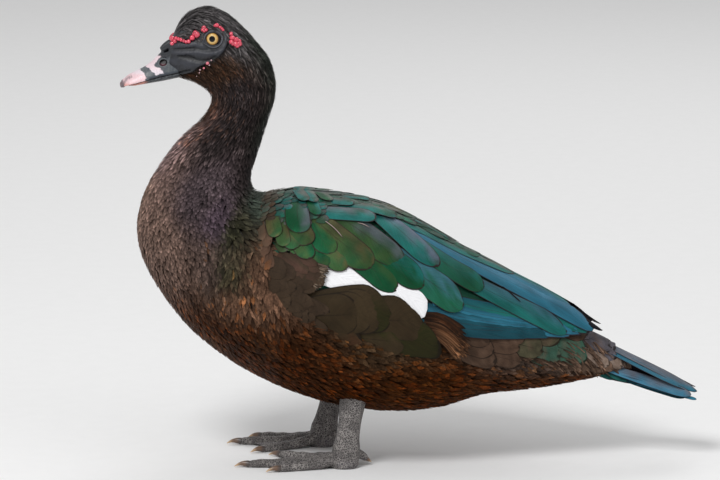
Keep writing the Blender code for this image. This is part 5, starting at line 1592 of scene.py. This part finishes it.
# Legs and feet are covered in grey scaly skin, fine as pebbles, with pale lines between the
# scales. Each has three long toes joined by webs, a small raised hind toe, and horn claws.
# For each leg: x of its ankle and its top, y, and its toes' names, headings in degrees and lengths.
LEGS = {
    "left": (-54, -46, 44, (("outer", 17, 62), ("middle", 0, 86), ("inner", -33, 71))),
    "right": (-73, -58, 42, (("outer", 24, 64), ("middle", 3, 76), ("inner", -26, 62))),
}
ANKLE_Z, SHANK_TOP = 19, 75
# Level rings. The shank's: z, half depth, half width. The ankle's: z, shift in x, and the same.
SHANK_RINGS = (
    (19, 11.5, 9), (24, 10.4, 8.2), (30, 9.9, 7.6), (40, 9.8, 7.5), (52, 10.8, 8.4), (62, 12, 9.4),
    (SHANK_TOP, 13, 10.4),
)
ANKLE_RINGS = (
    (-0.6, -2, 10.2, 8.6), (1, -2, 11.4, 9.8), (4, -2, 12.3, 10.8), (10, -1, 12.2, 10.3),
    (19, 0, 11.5, 9),
)
TOE_ROOT, TOE_TIP = 5.4, 3.4  # thickness, as a radius
KNUCKLES = (0.42, 0.66, 0.86)
HIND_TOE, HIND_RADII = ((4, -4, 13), (9, -6, 11.2), (13, -7, 9), (17, -8, 6)), (4.4, 3.7, 2.6)
CLAW_LENGTH, HIND_CLAW_LENGTH = 12.5, 6.0
FINE_SCALES, COARSE_SCALES = 560.0, 300.0
SCALE_DARK, SCALE_GREY, SCALE_PALE = (0.020, 0.018, 0.019), (0.085, 0.076, 0.074), (0.42, 0.39, 0.37)
WEB_GREY = (0.120, 0.108, 0.118)
CLAW_BROWN, CLAW_TIP, CLAW_ROOT = (0.16, 0.095, 0.06), (0.62, 0.42, 0.24), (0.07, 0.055, 0.05)


def leg_finish():
    """Small scales with dark grey middles and worn pale lines between them."""
    p, finish = start_finish("leg_skin")
    place = p.place()
    tint = p.stored("tint")
    warp = p.noise(place, 300, 3, 0.6)
    bent = p.node("VectorMath", {"operation": "MULTIPLY_ADD"}, {0: warp, 1: (0.0022,) * 3, 2: place})
    fine = p.cells(bent, FINE_SCALES, "DISTANCE_TO_EDGE")
    coarse = p.cells(bent, COARSE_SCALES, "DISTANCE_TO_EDGE")
    cell = p.cells(bent, FINE_SCALES, output=1)
    patchy = p.noise(place, 90, 3, 0.6).rise(0.35, 0.65)
    line = fine.rise(0.03, 0.16, 1.0, 0.0) * patchy.rise(0, 1, 0.45, 1.0)
    base = (cell * 0.7).tint(tint, (*SCALE_DARK, 1))
    base = (coarse.rise(0.0, 0.06, 1.0, 0.0) * 0.5).tint(base, (*SCALE_DARK, 1))
    colour = (line * 0.7).tint(base, (*SCALE_PALE, 1))
    relief = fine.rise(0.0, 0.22) * 0.6 + coarse.rise(0.0, 0.2) * 0.4
    return finish(Base_Color=colour, Roughness=warp.rise(0.3, 0.7, 0.5, 0.68), Specular_IOR_Level=0.4,
                  Normal=p.bump(relief, 0.75, 0.0006))


def claw_finish():
    """Brown horn, finely grained along its length."""
    p, finish = start_finish("claw_horn")
    tint = p.stored("tint")
    grain = p.noise(p.place(), 800, 3, 0.6)
    return finish(Base_Color=(grain.rise(0.3, 0.7) * 0.3).tint(tint, (*CLAW_ROOT, 1)), Roughness=0.32,
                  Normal=p.bump(grain, 0.2, 0.0002))


def level_ring(x, y, z, deep, wide):
    """Points round an upright part of a leg."""
    turn = circle(36)
    return join(x + deep * np.cos(turn), y + wide * np.sin(turn), z)


def toe_path(start, heading, length, side, share):
    """Points along a toe's middle, from the ankle down to the floor and forward."""
    rise = 6.5 * (1 - share) ** 2 + 3.0 + 0.3 * np.sin(share * math.pi * 3)
    return join(start[0] - math.cos(heading) * length * share,
                start[1] + side * math.sin(heading) * length * share, rise)


def web_between(near, far, start, side):
    """A thin sheet of skin, a little folded, between two toes."""
    rows, columns = 40, 30
    u, v = np.linspace(0.05, 1, rows)[:, None], np.linspace(0, 1, columns)[None, :]
    heading = np.radians(near[1] + (far[1] - near[1]) * v)
    reach = (near[2] + (far[2] - near[2]) * v) * 0.95 * (1 - 0.2 * np.sin(math.pi * v))
    fold = 0.28 * np.sin(v * math.pi * 7) * u * np.sin(math.pi * v)
    x, y = start[0] - np.cos(heading) * reach * u, start[1] + side * np.sin(heading) * reach * u
    z = 2.9 + 6.0 * (1 - u) ** 2 - 0.9 * np.sin(v * math.pi) * u + fold
    points = np.concatenate([join(x, y, z + lift).reshape(-1, 3) for lift in (0.95, -0.75)])
    under = rows * columns
    index = np.arange(under).reshape(rows, columns)
    rim = np.concatenate([index[0, :-1], index[:-1, -1], index[-1, :0:-1], index[:0:-1, 0]])
    faces = ring_faces(rows, columns, closed=False)
    faces += [[i + under for i in f[::-1]] for f in faces]
    faces += [(a + under, b + under, b, a) for a, b in zip(rim, np.roll(rim, -1))]
    return points, faces


def make_leg(side, word, skin, horn):
    """A shank and its webbed foot, melted into one skin, and the foot's four claws."""
    ankle_x, top_x, aside, toes = LEGS[word]
    start = (ankle_x + 2, side * aside)
    shank, ankle, paths = [], [], []
    for z, deep, wide in smooth(SHANK_RINGS, np.linspace(0, len(SHANK_RINGS) - 1, 25)):
        share = (z - ANKLE_Z) / (SHANK_TOP - ANKLE_Z)
        shank.append(level_ring(ankle_x + (top_x - ankle_x) * share, side * aside, z, deep, wide))
    for z, shift, deep, wide in smooth(ANKLE_RINGS, np.linspace(0, len(ANKLE_RINGS) - 1, 17)):
        ankle.append(level_ring(ankle_x + shift, side * aside, z, deep, wide))
    solids = [closed_rings(shank), closed_rings(ankle)]
    share = np.linspace(0, 1, 41)
    knuckle = sum(np.exp(-((share - at) / 0.045) ** 2) for at in KNUCKLES)
    radii = TOE_ROOT + (TOE_TIP - TOE_ROOT) * share + 0.35 * knuckle - 0.25
    radii = radii * np.where(share > 0.97, 0.8, 1.0)
    for _, degrees, length in toes:
        path = toe_path(start, math.radians(degrees), length, side, share)
        path[:, 2] += 0.2 * knuckle
        solids.append(tube_points(path, radii, 20))
        paths.append(path)
    solids += [web_between(near, far, start, side) for near, far in zip(toes, toes[1:])]
    hind = np.array([(ankle_x + x, side * (aside + y), z) for x, y, z in HIND_TOE])
    joints = np.linspace(0, 3, 13)
    solids.append(tube_points(smooth(hind, joints), np.interp(joints, (0, 2, 3), HIND_RADII), 16))
    points, faces = melt_together("leg", solids, 0.85, 3)
    points[:, 2] = np.maximum(points[:, 2], 0.0)
    gaps = [points[:, None, :2] - path[None, ::4, :2] for path in paths]
    away = np.min([np.linalg.norm(gap, axis=-1).min(axis=1) for gap in gaps], axis=0)
    web = ramp(4.5, 7.5, away) * ramp(9, 6, points[:, 2])
    leg = mesh_piece(f"leg_{word}", points, faces, skin, "leg_skin", 80)
    set_tint(leg.data, blend(SCALE_GREY, WEB_GREY, web) * (1 + 0.18 * ripple(points, 9, 120))[:, None])
    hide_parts(f"shank_{word}", f"foot_{word}")
    share = np.linspace(0, 1, 19)
    for (name, degrees, _), path in zip(toes, paths):
        heading = math.radians(degrees)
        ahead = np.array([-math.cos(heading), side * math.sin(heading), 0])
        line = path[-1] - ahead * 1.5 + ahead * (CLAW_LENGTH * share)[:, None]
        line[:, 2] += 1.1 * np.sin(share * 2.2) - 2.9 * share ** 2.2
        make_claw(f"claw_{name}_{word}", line, 2.7 * (1 - share ** 1.3) + 0.25, horn)
    way = hind[3] - hind[2]
    way /= np.linalg.norm(way)
    share = np.linspace(0, 1, 13)
    line = hind[3] - way * 0.8 + way * (HIND_CLAW_LENGTH * share)[:, None]
    make_claw(f"claw_hind_{word}", line, 2.0 * (1 - share ** 1.3) + 0.2, horn)


def make_claw(node, line, radii, horn):
    """A curved claw that replaces one of the solids."""
    around = 18
    points, faces = tube_points(line, radii, around)
    made = mesh_piece(node.replace("claw", "nail"), points, faces, horn, "claw_horn", 70)
    share = np.repeat(np.linspace(0, 1, len(line)), around)
    tint = blend(CLAW_ROOT, CLAW_BROWN, ramp(0.1, 0.35, share))
    set_tint(made.data, blend(tint, CLAW_TIP, ramp(0.5, 0.95, share)))
    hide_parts(node)


leg_skin = leg_finish()
claw_horn = claw_finish()
for side, word in SIDES:
    make_leg(side, word, leg_skin, claw_horn)


# The studio: a plain pale floor, a bright even surround, a large soft light above the bird's
# left shoulder, and two weaker ones, low behind its left side and above its right side.
FLOOR_WHITE, FLOOR_HALF = (0.86, 0.86, 0.86), 12
SURROUND, SURROUND_STRENGTH = (1.0, 1.0, 1.0), 0.5
# Each light's name, place in metres, size and power.
LIGHTS = (
    ("key", (-1.2, -2.2, 2.8), 1.2, 78), ("fill", (1.8, -1.6, 1.1), 1.6, 8),
    ("back", (0.6, 2.2, 2.4), 1.6, 18),
)
PHOTO_WIDTH, SCALE_MM_PER_PIXEL = 720, 0.85
CAMERA_FAR, CAMERA_ABOVE = 4.0, math.radians(10)
CAMERA_AIM = (-0.0425, 0.0, 0.188)
SENSOR = 36.0


def floor_finish():
    """A dull, faintly mottled white."""
    p, finish = start_finish("floor")
    grain = p.noise(p.place(), 60, 2, 0.5)
    colour = grain.rise(0.2, 0.8).tint((*[0.985 * c for c in FLOOR_WHITE], 1), (*FLOOR_WHITE, 1))
    return finish(Base_Color=colour, Roughness=0.9, Specular_IOR_Level=0.1)


def make_studio():
    """The floor, the surround and the lights."""
    mesh = bpy.data.meshes.new("floor")
    work = bmesh.new()
    bmesh.ops.create_grid(work, x_segments=2, y_segments=2, size=FLOOR_HALF)
    work.to_mesh(mesh)
    work.free()
    mesh.materials.append(floor_finish())
    add_object("floor", mesh)
    world = bpy.data.worlds.new("surround")
    world.use_nodes = True
    background = world.node_tree.nodes["Background"]
    background.inputs["Color"].default_value = (*SURROUND, 1)
    background.inputs["Strength"].default_value = SURROUND_STRENGTH
    bpy.context.scene.world = world
    bpy.context.scene.view_settings.view_transform = "Standard"
    for name, place, size, power in LIGHTS:
        light = bpy.data.lights.new(name, "AREA")
        light.energy, light.size = power, size
        lamp = add_object(name, light)
        lamp.location = place
        look_along(lamp, np.array(CAMERA_AIM) - np.array(place))


def look_along(thing, way):
    """Turns a light or camera to look along a direction."""
    flat = math.hypot(way[0], way[1])
    thing.rotation_euler = (math.pi / 2 + math.atan2(way[2], flat), 0, math.atan2(-way[0], way[1]))


def make_camera():
    """A camera level with the bird's left side, from a little above."""
    camera = add_object("camera", bpy.data.cameras.new("camera"))
    back = np.array([0, -math.cos(CAMERA_ABOVE), math.sin(CAMERA_ABOVE)])
    camera.location = np.array(CAMERA_AIM) + back * CAMERA_FAR
    look_along(camera, -back)
    camera.data.sensor_width = SENSOR
    camera.data.lens = SENSOR * CAMERA_FAR / (PHOTO_WIDTH * SCALE_MM_PER_PIXEL * MM)
    camera.data.clip_end = 60
    bpy.context.scene.camera = camera


make_studio()
make_camera()
